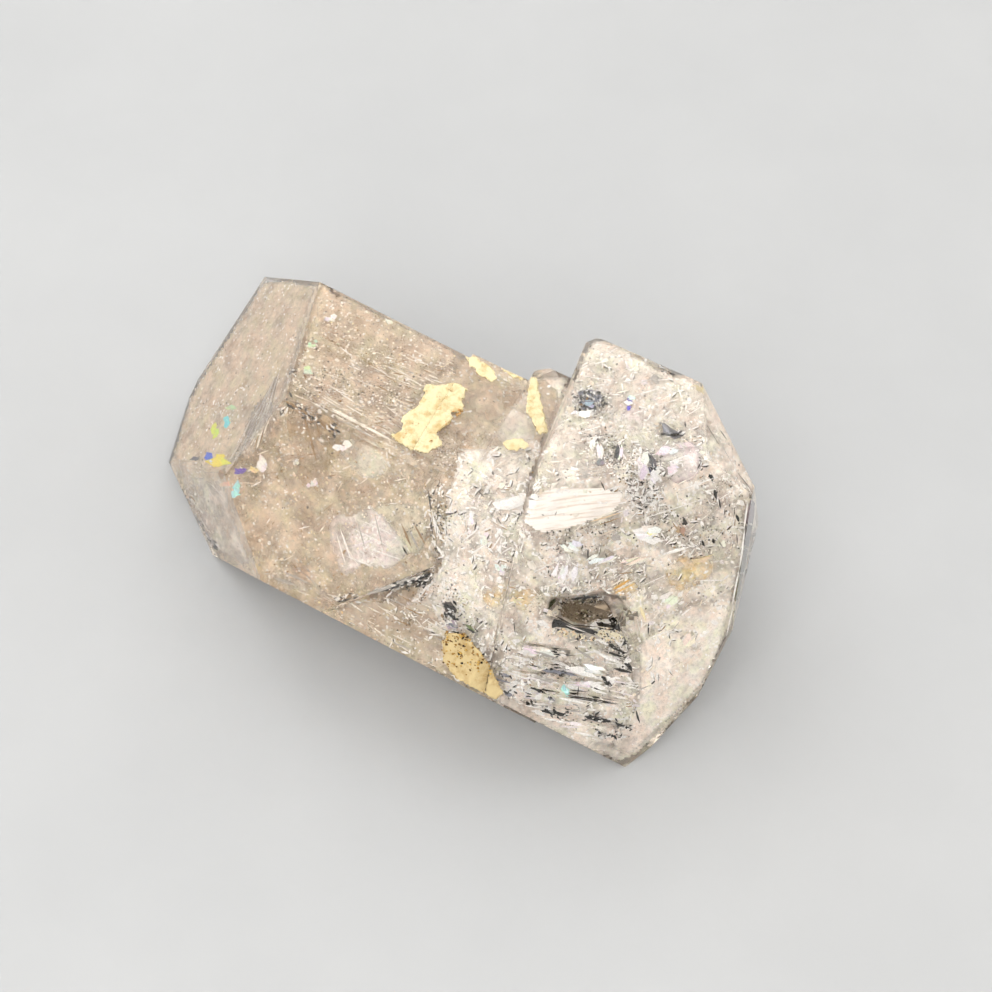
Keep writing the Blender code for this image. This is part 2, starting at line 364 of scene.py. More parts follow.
def veil_material(name, colours, scale, cover, dark_share, white_share):
    """A cloudy sheet: soft mottling, fine specks in swarms, and holes where a noise is low."""
    material, tree, shader = new_material(name)
    place = seen_place(tree, place_of(tree))
    aside = vector_maths(tree, "ADD", place, (3.1, 7.7, 1.3))
    soft = noise_of(tree, place, scale, 5.0, 0.7)
    tone = ramp(tree, soft, [(stop, in_quartz(colour)) for stop, colour in colours])
    tone = shaded(tree, tone, ramp(tree, noise_of(tree, place, 0.9, 3.0, 0.6), VEIL_HUES))
    facet = cell_value(tree, place, 2.4, "Green")
    tone = shaded(tree, tone, grey_ramp(tree, facet, [(0.0, 0.86), (1.0, 1.0)]))
    tone = shaded(tree, tone, grey_ramp(tree, noise_of(tree, place, 4.5, 3.0, 0.75), VEIL_GRAIN))
    crowd = grey_ramp(tree, noise_of(tree, place, 0.55, 1.0, 0.6), [(0.42, 0.25), (0.62, 1.9)])
    white = specks(tree, place, 9.0, maths(tree, "MULTIPLY", crowd, white_share))
    tone = blend_colour(tree, white, tone, in_quartz(WHITE))
    dark = specks(tree, aside, 11.0, maths(tree, "MULTIPLY", crowd, dark_share))
    tone = blend_colour(tree, dark, tone, DARK)
    low, high, least, most = cover
    body = grey_ramp(tree, noise_of(tree, aside, scale * 0.4, 3.0, 0.65), [(low, least), (high, most)])
    fade = attribute(tree, "fade", "Fac")
    fill(tree, shader, {
        "Base Color": tone, "Roughness": 0.5, "Alpha": maths(tree, "MULTIPLY", body, fade),
    })
    return material


SILVER_TONES = [(0.36, (0.72, 0.64, 0.57)), (0.44, (0.87, 0.82, 0.77)), (0.52, (0.93, 0.895, 0.865))]
SILVER_TURN = math.radians(-38.0)


def silver_material():
    """The bright fracture plane, with fine parallel lines along it."""
    material, tree, shader = new_material("silver_plane")
    place = place_of(tree, turn=(0.0, 0.0, SILVER_TURN))
    stretched = vector_maths(tree, "MULTIPLY", place, (0.16, 3.4, 3.4))
    tone = ramp(tree, noise_of(tree, stretched, 1.7, 3.0, 0.6, 0.2), SILVER_TONES)
    body = grey_ramp(tree, noise_of(tree, place, 0.7, 4.0), [(0.25, 0.8), (0.5, 1.0)])
    fade = maths(tree, "MULTIPLY", attribute(tree, "fade", "Fac"), 2.2)
    sharp = maths(tree, "MINIMUM", fade, 1.0)
    fill(tree, shader, {
        "Base Color": tone, "Roughness": 0.3, "Alpha": maths(tree, "MULTIPLY", body, sharp),
    })
    return material


GRAIN_BROWN = (0.3, 0.15, 0.035)


def clay_material(name, pale, deep, dark_share):
    """Crumbly yellow clay: pale lumps, deeper hollows and scattered brown grains."""
    material, tree, shader = new_material(name)
    place = place_of(tree)
    lumps = noise_of(tree, place, 1.5, 5.0, 0.65)
    colour = ramp(tree, lumps, [(0.34, deep), (0.5, pale), (0.72, [min(1.0, c * 1.06) for c in pale])])
    grains = add(tree, "ShaderNodeTexVoronoi", {"Vector": place, "Scale": 3.4})
    crumbled = maths(tree, "ADD", grains.outputs["Distance"], maths(tree, "MULTIPLY", lumps, 0.5))
    near = grey_ramp(tree, crumbled, [(0.32, 1.0), (0.4, 0.0)])
    start = 1.0 - dark_share
    patchy = grey_ramp(tree, noise_of(tree, place, 0.8, 2.0), [(start, 0.0), (start + 0.06, 1.0)])
    colour = blend_colour(tree, maths(tree, "MULTIPLY", near, patchy), colour, GRAIN_BROWN)
    fine = noise_of(tree, place, 14.0, 4.0, 0.7)
    bump = add(tree, "ShaderNodeBump", {"Strength": 0.6, "Distance": 0.04 * MM, "Height": fine})
    fill(tree, shader, {"Base Color": colour, "Roughness": 0.9, "Normal": bump.outputs["Normal"]})
    return material


def keep_piece(name, mesh, material):
    """Makes a piece of the object from a mesh and lets it ride with the crystal."""
    piece = bpy.data.objects.new(name, mesh)
    bpy.context.scene.collection.objects.link(piece)
    mesh.materials.clear()
    mesh.materials.append(material)
    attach(piece, BODY)
    return piece


# The half widths of a sliver along its length: (share of the length, share of the half width)
SLIVER_SHAPE = ((0.2, 0.7), (0.5, 1.0), (0.8, 0.6))


class Bits:
    """Many small closed shapes, gathered into one mesh with a tone on every face."""

    def __init__(self, sealed=True):
        self.sealed = sealed
        self.verts = []
        self.faces = []
        self.tones = []

    def put(self, verts, faces, tone):
        start = len(self.verts)
        self.verts.extend(verts)
        self.faces.extend(tuple(start + i for i in face) for face in faces)
        self.tones.extend([in_quartz(tone) if self.sealed else tone] * len(faces))

    def lens(self, ring, top, bottom, tone):
        """A ring of points that tapers to one point above and one below."""
        count = len(ring)
        faces = []
        for i in range(count):
            j = (i + 1) % count
            faces += [(i, j, count), (j, i, count + 1)]
        self.put(ring + [top, bottom], faces, tone)

    def shard(self, centre, along, across, length, width, thick, tone, rng, sides=5):
        """A thin flake with a ragged outline."""
        out = along.cross(across)
        ring = []
        for i in range(sides):
            angle = 2 * math.pi * (i + rng.uniform(-0.3, 0.3)) / sides
            reach = rng.uniform(0.7, 1.0) / 2
            ring.append(centre + along * (math.cos(angle) * reach * length)
                        + across * (math.sin(angle) * reach * width))
        self.lens(ring, centre + out * thick, centre - out * thick, tone)

    def sliver(self, start, end, side, width, thick, tone, rng):
        """A long thin lens from start to end."""
        run = end - start
        out = run.normalized().cross(side)
        halves = [*SLIVER_SHAPE, *((share, -half) for share, half in SLIVER_SHAPE[::-1])]
        ring = [start + run * share + side * (width / 2 * half * rng.uniform(0.6, 1.2))
                for share, half in halves]
        ring = [start, *ring[:len(SLIVER_SHAPE)], end, *ring[len(SLIVER_SHAPE):]]
        middle = start + run * 0.5
        self.lens(ring, middle - out * thick, middle + out * thick, tone)

    def mesh(self, name):
        mesh = bpy.data.meshes.new(name)
        mesh.from_pydata([tuple(v) for v in self.verts], [], self.faces)
        tones = mesh.color_attributes.new("tone", "FLOAT_COLOR", "CORNER")
        flat = []
        for face, tone in zip(self.faces, self.tones):
            flat.extend([*tone, 1.0] * len(face))
        tones.data.foreach_set("color", flat)
        return mesh


def inside_outline(px, py, outline):
    """True if a pixel lies inside a closed outline."""
    found = False
    for (ax, ay), (bx, by) in zip(outline, outline[1:] + outline[:1]):
        if (ay > py) != (by > py) and px < (bx - ax) * (py - ay) / (by - ay) + ax:
            found = not found
    return found


def box_of(outline):
    """The least x and y of an outline, and the greatest."""
    xs, ys = zip(*outline)
    return min(xs), min(ys), max(xs), max(ys)


def pixel_in(outline, rng):
    """A random pixel inside an outline."""
    left, low, right, high = box_of(outline)
    while True:
        px = rng.uniform(left, right)
        py = rng.uniform(low, high)
        if inside_outline(px, py, outline):
            return px, py


def pick(weights, rng):
    """A random key, by weight. weights is a list of (key, weight)."""
    return rng.choices([k for k, w in weights], [w for k, w in weights])[0]


def flat_axes(normal, hint):
    """Two directions in the plane across a normal, the first as near the hint as it can be."""
    along = hint - normal * hint.dot(normal)
    if along.length < 0.1:
        along = normal.orthogonal()
    along.normalize()
    return along, normal.cross(along)


def tilted(normal, most, rng):
    """A normal turned by a random angle up to most."""
    turn = Matrix.Rotation(rng.uniform(0, 2 * math.pi), 3, normal)
    lean = turn @ normal.orthogonal().normalized()
    return Matrix.Rotation(rng.uniform(0, most), 3, lean) @ normal


def scattered(table, rng):
    """Random pixels over the outlines of a table: x, y and the rest of the row for each."""
    for outline, count, *rest in table:
        for _ in range(count):
            yield *pixel_in(outline, rng), *rest


# A flake keeps this far from the faces, and leans at most this much, as the sine of an angle
FLAKE_GAP = 0.05 * MM
MOST_LEAN = 0.7


def flake_at(bits, point, normal, room, size, tone, rng, stretch):
    """One flake that stays inside the crystal: the nearer the face, the less it leans."""
    lean = math.asin(max(0.0, min(MOST_LEAN, (room - FLAKE_GAP) / size)))
    out = tilted(normal, lean, rng)
    hint = Matrix.Rotation(rng.uniform(0, 2 * math.pi), 3, out) @ out.orthogonal()
    along, across = flat_axes(out, hint)
    thick = size * rng.uniform(0.04, 0.14)
    bits.shard(point, along, across, size * stretch, size, thick, tone, rng, rng.choice((4, 5, 6)))


# Zones where specks crowd together in the photograph
TOP_SPECKS = [(285, 372), (330, 368), (392, 380), (404, 405), (360, 402), (300, 395)]
BELOW_CLAY = [(428, 440), (452, 436), (462, 452), (450, 470), (434, 466)]
HALO = [(572, 392), (590, 386), (612, 392), (612, 416), (590, 420), (574, 414)]
WHITE_SPOTS = [(580, 428), (604, 426), (625, 436), (625, 468), (604, 470), (584, 450)]
NET = [(630, 447), (662, 450), (664, 500), (628, 505), (622, 475)]
RIGHT_OF_SILVER = [(622, 490), (660, 500), (700, 520), (720, 545), (690, 560), (640, 525)]
UNDER_SILVER = [(545, 533), (600, 520), (625, 530), (600, 550), (555, 555)]
OVER_CAVITY = [(540, 560), (640, 552), (650, 590), (600, 598), (540, 600)]
CAVITY_RIM = [(600, 618), (622, 620), (634, 640), (628, 672), (604, 650), (596, 636)]
CAVITY = [(557, 600), (570, 597), (598, 598), (612, 612), (604, 621), (586, 622), (560, 616)]
CRACK_END = [(410, 572), (434, 566), (440, 590), (420, 602), (406, 590)]
DARK_CORNER = [(434, 596), (462, 592), (480, 612), (478, 634), (450, 630), (438, 616)]
EDGE_SPECKS = [(700, 470), (744, 474), (748, 520), (730, 560), (706, 540)]
WINDOW_EDGE = [(428, 484), (446, 484), (452, 520), (446, 562), (430, 556)]
CURLS = [(470, 636), (540, 640), (548, 690), (512, 700), (486, 660)]
BLACK_AND_WHITE = [(598, 444), (624, 440), (622, 466), (600, 466)]
HALO_CORE = [(576, 396), (588, 389), (602, 392), (604, 402), (596, 411), (580, 411)]
UNDER_SLAB = [(550, 629), (566, 629), (582, 635), (596, 638), (590, 642), (572, 639), (552, 635)]
YELLOW_MASS = [(595, 630), (607, 627), (622, 632), (627, 638), (620, 644), (606, 641), (592, 634)]

# Tones with their weights
SPECK_MIX = [(WHITE, 5), (DARK, 5), (GREY, 2), (CREAM, 1), (BROWN, 1)]
PALE_MIX = [(WHITE, 6), (CREAM, 3), (SAND, 2), (GREY, 1), (LILAC, 1), (SAGE, 0.6)]
WARM_MIX = [(CREAM, 4), (SAND, 4), (WHITE, 3), (BROWN, 0.8), (OCHRE, 0.6), (SAGE, 0.6)]
DARK_MIX = [(DARK, 6), (SLATE, 3), (WHITE, 2), (GREY, 2)]
RUSTY_MIX = [((0.8, 0.66, 0.36), 4), ((0.78, 0.5, 0.28), 3), (CREAM, 3), (BROWN, 1), (DARK, 1)]
# The cavity's tones: a brown lining, with the darkest ones as painted shade in the hollow
CAVITY_MIX = [((0.34, 0.27, 0.19), 4), ((0.1, 0.07, 0.04), 3), (DARK, 4), ((0.55, 0.46, 0.35), 2),
              ((0.22, 0.24, 0.1), 1)]
WINDOW_MIX = [((0.86, 0.72, 0.58), 5), ((0.72, 0.52, 0.38), 4), ((0.55, 0.46, 0.28), 3), (WHITE, 1.5),
              (BROWN, 1)]

# Clouds of flakes: (outline, count, depths in mm, sizes in mm, tones with weights)
CLOUDS = [
    (RIGHT_BODY, 1500, (0.2, 1.2), (0.06, 0.22), PALE_MIX),
    (RIGHT_BODY, 420, (0.2, 1.0), (0.2, 0.6), PALE_MIX),
    (RIGHT_BODY, 260, (0.15, 0.6), (0.05, 0.12), SPECK_MIX),
    (RIGHT_TOP, 350, (0.2, 1.2), (0.06, 0.26), PALE_MIX),
    (MIDDLE, 700, (0.2, 1.2), (0.06, 0.26), PALE_MIX),
    (TOP_BAND, 900, (0.2, 0.9), (0.06, 0.24), WARM_MIX),
    (WINDOW, 1000, (0.25, 1.2), (0.06, 0.22), WINDOW_MIX),
    (END_FACE, 500, (0.15, 0.6), (0.07, 0.25), WINDOW_MIX),
    (UNDER_SLAB, 90, (0.1, 0.2), (0.08, 0.22), RUSTY_MIX),
    (YELLOW_MASS, 60, (0.1, 0.2), (0.08, 0.2), RUSTY_MIX),
    (LOW_END, 160, (0.2, 0.8), (0.08, 0.3), PALE_MIX),
    (STREAK_AREA, 300, (0.15, 0.8), (0.07, 0.3), PALE_MIX),
    (FRONT_BAR, 220, (0.2, 1.0), (0.07, 0.22), WARM_MIX),
    (RIGHT_EDGE, 160, (0.2, 1.0), (0.07, 0.24), PALE_MIX),
    (TOP_SPECKS, 420, (0.12, 0.5), (0.04, 0.13), SPECK_MIX),
    (BELOW_CLAY, 230, (0.12, 0.4), (0.04, 0.11), SPECK_MIX),
    (HALO, 330, (0.1, 0.2), (0.05, 0.2), SPECK_MIX),
    (HALO_CORE, 110, (0.06, 0.12), (0.1, 0.26), DARK_MIX),
    (WHITE_SPOTS, 260, (0.12, 0.5), (0.06, 0.18), SPECK_MIX),
    (NET, 420, (0.12, 0.5), (0.05, 0.16), SPECK_MIX),
    (RIGHT_OF_SILVER, 380, (0.12, 0.6), (0.05, 0.16), SPECK_MIX),
    (UNDER_SILVER, 220, (0.12, 0.5), (0.05, 0.16), SPECK_MIX),
    (OVER_CAVITY, 320, (0.12, 0.5), (0.06, 0.2), PALE_MIX),
    (CAVITY_RIM, 200, (0.1, 0.3), (0.05, 0.16), SPECK_MIX),
    (CAVITY, 420, (0.1, 0.22), (0.06, 0.22), CAVITY_MIX),
    (CRACK_END, 130, (0.12, 0.4), (0.05, 0.16), SPECK_MIX),
    (DARK_CORNER, 220, (0.12, 0.4), (0.05, 0.15), SPECK_MIX),
    (EDGE_SPECKS, 240, (0.12, 0.5), (0.05, 0.15), SPECK_MIX),
    (WINDOW_EDGE, 200, (0.12, 0.5), (0.06, 0.2), SPECK_MIX),
    (CURLS, 260, (0.12, 0.5), (0.05, 0.18), PALE_MIX),
    (BLACK_AND_WHITE, 90, (0.1, 0.3), (0.06, 0.16), SPECK_MIX),
]

# A flake with less room than this to the nearest face is left out
LEAST_ROOM = 0.08 * MM


def cloud_flakes(sight):
    """The fine flakes and specks that the photograph shows."""
    rng = random.Random(21)
    bits = Bits()
    for px, py, depths, sizes, tones in scattered(CLOUDS, rng):
        found = sight.under(px, py, rng.uniform(*depths) * MM)
        if found is None:
            continue
        point, normal = found
        room = sight.room_at(point)
        if room < LEAST_ROOM:
            continue
        size = rng.uniform(*sizes) * rng.uniform(0.6, 1.0) * MM
        flake_at(bits, point, normal, room, size, pick(tones, rng), rng, rng.uniform(1.0, 1.8))
    return bits


# The flakes of the sides away from the photograph, in mm
HIDDEN_FLAKES = 3600
HIDDEN_DEPTHS = (0.25, 3.5)
HIDDEN_SIZES = (0.08, 0.32)
HIDDEN_ROOM = 0.1
HIDDEN_MIX = [(WHITE, 5), (CREAM, 4), (SAND, 3), (GREY, 2), (DARK, 1.2), (LILAC, 0.8), (RUST, 0.3)]


def hidden_flakes(sight, bm):
    """Flakes all round the crystal, so that the sides away from the photograph are as full."""
    rng = random.Random(22)
    bits = Bits()
    faces = list(bm.faces)
    areas = [f.calc_area() for f in faces]
    for face in rng.choices(faces, areas, k=HIDDEN_FLAKES):
        corners = [v.co for v in face.verts]
        triangles = geometry.tessellate_polygon([corners])
        a, b, c = (corners[i] for i in rng.choice(triangles))
        s, t = sorted((rng.random(), rng.random()))
        point = a * s + b * (t - s) + c * (1 - t)
        point = point - face.normal * rng.uniform(*HIDDEN_DEPTHS) * MM
        room = sight.room_at(point)
        if room < HIDDEN_ROOM * MM:
            continue
        size = rng.uniform(*HIDDEN_SIZES) * MM
        flake_at(bits, point, face.normal, room, size, pick(HIDDEN_MIX, rng), rng, rng.uniform(1, 2))
    return bits


def ragged_outline(cx, cy, length, width, turn, rng):
    """The pixel outline of a small angular flake."""
    corners = rng.choice((3, 4, 4, 5))
    outline = []
    for corner in range(corners):
        around = 2 * math.pi * (corner + rng.uniform(-0.3, 0.3)) / corners
        u, v = math.cos(around) * length / 2, math.sin(around) * width / 2
        outline.append((cx + u * math.cos(turn) - v * math.sin(turn),
                        cy + u * math.sin(turn) + v * math.cos(turn)))
    return outline


# Lines read off the photograph: (from x, y, to x, y, width in pixels, tone)
LINES = [
    # Streaks under the lower right face
    (499, 674, 512, 677, 4, SLATE), (541, 670, 568, 674, 6, SLATE), (505, 692, 513, 698, 6, SLATE),
    (529, 688, 557, 692, 2.5, DARK), (566, 695, 616, 703, 2.5, DARK), (525, 697, 537, 703, 6, SLATE),
    (547, 698, 555, 701, 5, SLATE), (540, 710, 569, 716, 6, DARK), (568, 710, 583, 712, 3, GREY),
    (584, 716, 612, 722, 6, DARK), (614, 723, 632, 729, 3.5, DARK), (594, 732, 624, 740, 4, DARK),
    (594, 743, 612, 745, 2.5, GREY), (636, 710, 640, 724, 2.5, DARK), (575, 648, 597, 662, 3, GREY),
    (533, 651, 559, 659, 3, GREY), (568, 667, 597, 677, 8, WHITE), (586, 681, 606, 690, 7, WHITE),
    (548, 660, 572, 668, 5, WHITE), (602, 677, 610, 687, 4, DARK), (606, 676, 615, 684, 5, WHITE),
    (596, 652, 622, 664, 5, WHITE),
    # The dark cavity, a brown lining with painted shade along its upper rim, and the shards round it
    (546, 617, 567, 619, 4, WHITE), (535, 621, 549, 625, 6, WHITE),
    (565, 625, 588, 633, 1.8, (0.62, 0.56, 0.5)), (553, 630, 560, 630, 4, DARK),
    (608, 617, 614, 613, 2.4, WHITE), (618, 620, 624, 630, 1.6, WHITE), (598, 640, 609, 645, 4, WHITE),
    (614, 640, 622, 646, 3, WHITE), (584, 597, 600, 597, 4, DARK), (571, 600, 584, 597, 3, DARK),
    (612, 590, 631, 579, 3.2, (0.62, 0.26, 0.05)), (614, 594, 636, 583, 2.2, RUST),
    (604, 600, 622, 592, 2.4, OCHRE), (618, 574, 634, 572, 1.6, BROWN), (611, 586, 627, 577, 1.6, CREAM),
    (616, 590, 636, 580, 1.6, WHITE), (612, 600, 628, 597, 7, WHITE),
    (628, 607, 645, 618, 4, (0.55, 0.32, 0.08)), (640, 606, 646, 622, 4, OCHRE),
    (627, 607, 633, 625, 3, CREAM),
    # The dark patches left of it
    (443, 604, 456, 612, 7, DARK), (447, 612, 456, 620, 6, DARK), (441, 614, 449, 622, 6, BROWN),
    (446, 622, 458, 628, 4, SLATE), (465, 624, 475, 631, 4, OLIVE), (466, 628, 476, 633, 2.5, DARK),
    (432, 604, 438, 612, 3, WHITE), (457, 604, 466, 612, 3, WHITE),
    # The cracks under the window
    (336, 600, 357, 594, 3.5, BROWN), (357, 594, 421, 574, 2.2, GREY), (366, 595, 417, 577, 5, GREY),
    (380, 592, 417, 579, 4, DARK), (408, 584, 432, 573, 5, DARK), (418, 587, 431, 577, 4, DARK),
    (416, 580, 430, 574, 1.5, WHITE), (352, 598, 420, 577, 1.2, WHITE), (424, 590, 434, 582, 2.5, WHITE),
    (340, 602, 352, 598, 2, DARK),
    # Veins and ridge lines of the window
    (284, 400, 300, 410, 4, BROWN), (296, 408, 316, 420, 5, BROWN), (312, 416, 338, 434, 5, BROWN),
    (303, 413, 310, 436, 2.5, BROWN), (308, 428, 317, 464, 2.5, BROWN), (316, 420, 320, 440, 2, BROWN),
    (330, 408, 362, 424, 3, CREAM), (358, 422, 395, 442, 3.5, CREAM), (395, 442, 430, 462, 2, CREAM),
    (401, 523, 412, 548, 3, BROWN), (408, 528, 420, 552, 2.5, GREY), (414, 524, 426, 546, 2.5, BROWN),
    (402, 546, 408, 556, 2, DARK), (405, 545, 410, 553, 1.4, WHITE), (340, 528, 352, 562, 2.5, WHITE),
    (336, 532, 346, 566, 1.8, WHITE), (352, 528, 388, 546, 2, WHITE), (350, 548, 378, 538, 2, LILAC),
    (360, 520, 396, 536, 1.6, WHITE), (342, 540, 362, 572, 1.6, CREAM), (368, 548, 402, 560, 2, WHITE),
    (374, 512, 384, 552, 1.4, GREY), (356, 516, 366, 552, 1.6, GREY), (346, 556, 372, 566, 2, WHITE),
    (428, 489, 431, 512, 2, DARK), (432, 510, 436, 534, 2.5, WHITE), (430, 516, 433, 536, 1.6, DARK),
    (434, 534, 447, 540, 3, WHITE), (436, 545, 443, 556, 3, WHITE), (274, 578, 298, 586, 5, GREY),
    (284, 572, 310, 584, 4, GREY),
    # The left end
    (284, 400, 294, 408, 3, DARK), (280, 416, 284, 408, 5, DARK), (285, 414, 288, 407, 3, WHITE),
    (291, 371, 297, 375, 4, DARK), (194, 514, 203, 528, 4, SLATE), (199, 516, 210, 534, 3, WHITE),
    (203, 528, 214, 545, 5, SLATE), (196, 506, 206, 516, 3, WHITE), (210, 540, 219, 549, 4, DARK),
    (205, 486, 218, 502, 2, CREAM), (209, 482, 226, 500, 2, WHITE), (190, 496, 196, 502, 4, BROWN),
    # Fine lines of the right body
    (646, 451, 653, 462, 2.6, DARK), (649, 466, 658, 474, 2.6, DARK), (697, 453, 701, 462, 1.8, DARK),
    (701, 462, 697, 470, 1.8, DARK), (692, 458, 697, 467, 3, WHITE), (656, 441, 682, 433, 1.4, WHITE),
    (664, 434, 684, 433, 4, DARK), (663, 437, 676, 437, 1.2, WHITE), (667, 463, 688, 455, 1.6, WHITE),
    (678, 491, 720, 476, 1.8, WHITE), (685, 486, 735, 470, 1.4, CREAM), (663, 554, 690, 547, 4, WHITE),
    (652, 560, 672, 553, 2.5, CREAM), (575, 545, 640, 520, 1.4, SAND), (640, 520, 700, 500, 1.4, WHITE),
    (590, 522, 623, 512, 2.5, (0.58, 0.38, 0.22)), (592, 519, 622, 509, 2, CREAM),
    (596, 526, 622, 517, 1.4, BROWN), (709, 474, 714, 482, 4, DARK), (714, 489, 717, 500, 3, DARK),
    (718, 498, 721, 509, 3, DARK), (716, 494, 719, 506, 2, WHITE), (736, 514, 739, 522, 3, DARK),
    (713, 538, 714, 544, 3, DARK), (702, 540, 704, 546, 2.5, DARK), (711, 426, 737, 472, 1.6, GREY),
    (737, 472, 752, 491, 1.8, DARK), (720, 430, 727, 440, 2, DARK), (706, 424, 720, 446, 1.4, DARK),
    (742, 476, 752, 494, 2.5, WHITE), (498, 421, 519, 432, 3, GREY), (672, 522, 686, 538, 3, BROWN),
    # Painted highlight: the bright rim along the right edge, before the dark facet there
    (748, 500, 744, 530, 2.2, WHITE), (745, 528, 739, 572, 2.2, WHITE), (739, 570, 732, 606, 2.2, WHITE),
    (733, 604, 726, 638, 2, WHITE), (727, 636, 719, 668, 1.8, WHITE),
]

# How deep the lines lie, in mm
LINE_DEPTH = 0.15

# A sliver is left out if it is shorter than this, or if its middle would be this far, in mm, from
# where the line of sight puts it, as where it would cross a hollow
SHORTEST_SLIVER = 0.02
STRAY = 0.12
SLIVER_THICK_SHARE = 0.12


def photo_sliver(bits, sight, start, end, width, depth, tone, rng):
    """A sliver between two pixels, at a depth under the surface."""
    halfway = ((start[0] + end[0]) / 2, (start[1] + end[1]) / 2)
    found = [sight.under(*pixel, depth * MM) for pixel in (start, halfway, end)]
    if None in found:
        return
    (first, first_out), (middle, _), (last, last_out) = found
    if (first - last).length < SHORTEST_SLIVER * MM or ((first + last) / 2 - middle).length > STRAY * MM:
        return
    run = (last - first).normalized()
    side = (first_out + last_out).normalized().cross(run).normalized()
    size = width * PIXEL
    bits.sliver(first, last, side, size, SLIVER_THICK_SHARE * size, tone, rng)


# How thick a plate is, in mm
PATCH_THICK = 0.05


def photo_patch(bits, sight, outline, depth, tone):
    """A thin plate with an outline given in pixels, at a depth under the surface."""
    found = [sight.under(px, py, depth * MM) for px, py in outline]
    if None in found:
        return
    normal = sum((f[1] for f in found), Vector()).normalized()
    top = [f[0] for f in found]
    bottom = [point - normal * PATCH_THICK * MM for point in top]
    count = len(outline)
    faces = [tuple(range(count))[::-1], tuple(range(count, 2 * count))]
    faces += [(i, (i + 1) % count, count + (i + 1) % count, count + i) for i in range(count)]
    bits.put(top + bottom, faces, tone)


# Plates read off the photograph: (outline, depth in mm, tone)
PATCHES = [
    # The cavity's floor: a brown lining, darkened further by painted shade
    ([(560, 600), (573, 601), (583, 597), (598, 596), (607, 603), (612, 612), (613, 616), (603, 620),
      (595, 620), (585, 624), (573, 622), (562, 615), (559, 608)], 0.36, (0.12, 0.088, 0.058)),
    ([(590, 603), (597, 602), (607, 605), (612, 612), (603, 612), (593, 609)], 0.28, (0.26, 0.225, 0.24)),
    ([(552, 623), (554, 619), (562, 621), (573, 625), (583, 628), (593, 630), (598, 632), (595, 635),
      (587, 633), (577, 633), (567, 628), (557, 627), (552, 628)], 0.24, DARK),
    ([(590, 625), (597, 619), (607, 619), (612, 622), (603, 624), (593, 626)], 0.24, WHITE),
    ([(608, 620), (613, 617), (617, 620), (622, 629), (618, 630), (612, 627)], 0.2, DARK),
    ([(596, 622), (608, 624), (613, 627), (620, 630), (610, 630), (598, 626)], 0.2, DARK),
    ([(625, 634), (627, 638), (627, 644), (622, 646), (625, 640)], 0.2, DARK),
    ([(606, 644), (612, 644), (618, 648), (626, 653), (622, 653), (613, 649)], 0.2, DARK),
    ([(624, 664), (628, 662), (632, 667), (632, 672), (628, 668)], 0.2, DARK),
    ([(604, 677), (607, 680), (608, 688), (606, 687)], 0.18, DARK),
    ([(607, 679), (616, 677), (612, 686)], 0.2, WHITE),
    ([(543, 612), (550, 602), (555, 598), (556, 601), (550, 608), (547, 614)], 0.2, (0.02, 0.025, 0.01)),
    ([(550, 613), (557, 605), (561, 607), (558, 615)], 0.2, (0.86, 0.75, 0.55)),
    ([(600, 628), (610, 628), (620, 634), (618, 641), (606, 640), (598, 636)], 0.28, (0.84, 0.72, 0.46)),
    # Painted shade: dark plates under the facet at the right edge, which is seen edge-on
    ([(751, 500), (755, 503), (753, 524), (748, 522)], 0.2, (0.12, 0.09, 0.1)),
    ([(748, 524), (752, 526), (749, 546), (744, 546)], 0.2, (0.08, 0.07, 0.07)),
    ([(744, 548), (748, 549), (744, 572), (740, 572)], 0.2, (0.07, 0.06, 0.04)),
    ([(740, 574), (743, 575), (738, 600), (735, 600)], 0.2, (0.09, 0.08, 0.04)),
    ([(492, 503), (500, 499), (523, 493), (524, 504), (508, 510), (496, 509)], 0.24, (0.95, 0.92, 0.88)),
    ([(660, 422), (665, 423), (671, 428), (686, 434), (674, 439), (663, 434)], 0.14, (0.1, 0.1, 0.11)),
    ([(632, 530), (644, 527), (657, 531), (661, 541), (653, 545), (638, 539)], 0.2, WHITE),
    ([(648, 533), (654, 532), (655, 537), (649, 538)], 0.168, (0.92, 0.76, 0.1)),
    ([(578, 392), (588, 389), (600, 392), (602, 400), (592, 404), (578, 402)], 0.24, SLATE),
    ([(577, 411), (585, 412), (594, 409), (593, 415), (583, 417), (577, 415)], 0.16, WHITE),
    ([(583, 405), (590, 403), (595, 408), (588, 410)], 0.14, (0.01, 0.01, 0.01)),
    ([(627, 406), (631, 406), (630, 410), (627, 410)], 0.16, (0.05, 0.04, 0.4)),
    ([(623, 402), (628, 400), (634, 403), (628, 405)], 0.168, WHITE),
    ([(316, 413), (328, 416), (338, 428), (334, 433), (322, 426)], 0.32, (0.3, 0.2, 0.11)),
    ([(424, 572), (432, 573), (431, 584), (420, 588), (416, 582)], 0.28, (0.12, 0.1, 0.08)),
    ([(442, 603), (451, 602), (457, 610), (454, 619), (446, 612)], 0.24, (0.05, 0.04, 0.035)),
    ([(445, 621), (456, 620), (458, 628), (448, 629)], 0.24, (0.34, 0.26, 0.33)),
]

# Dark lines at least this many pixels wide get splinters along their edges
BROAD_LINE = 3.5
SPLINTERS_PER_PIXEL = 0.9
SPLINTER_DEPTHS = (0.08, 0.18)
SPLINTER_MIX = [(DARK, 5), (WHITE, 4), (GREY, 2), (CREAM, 1)]


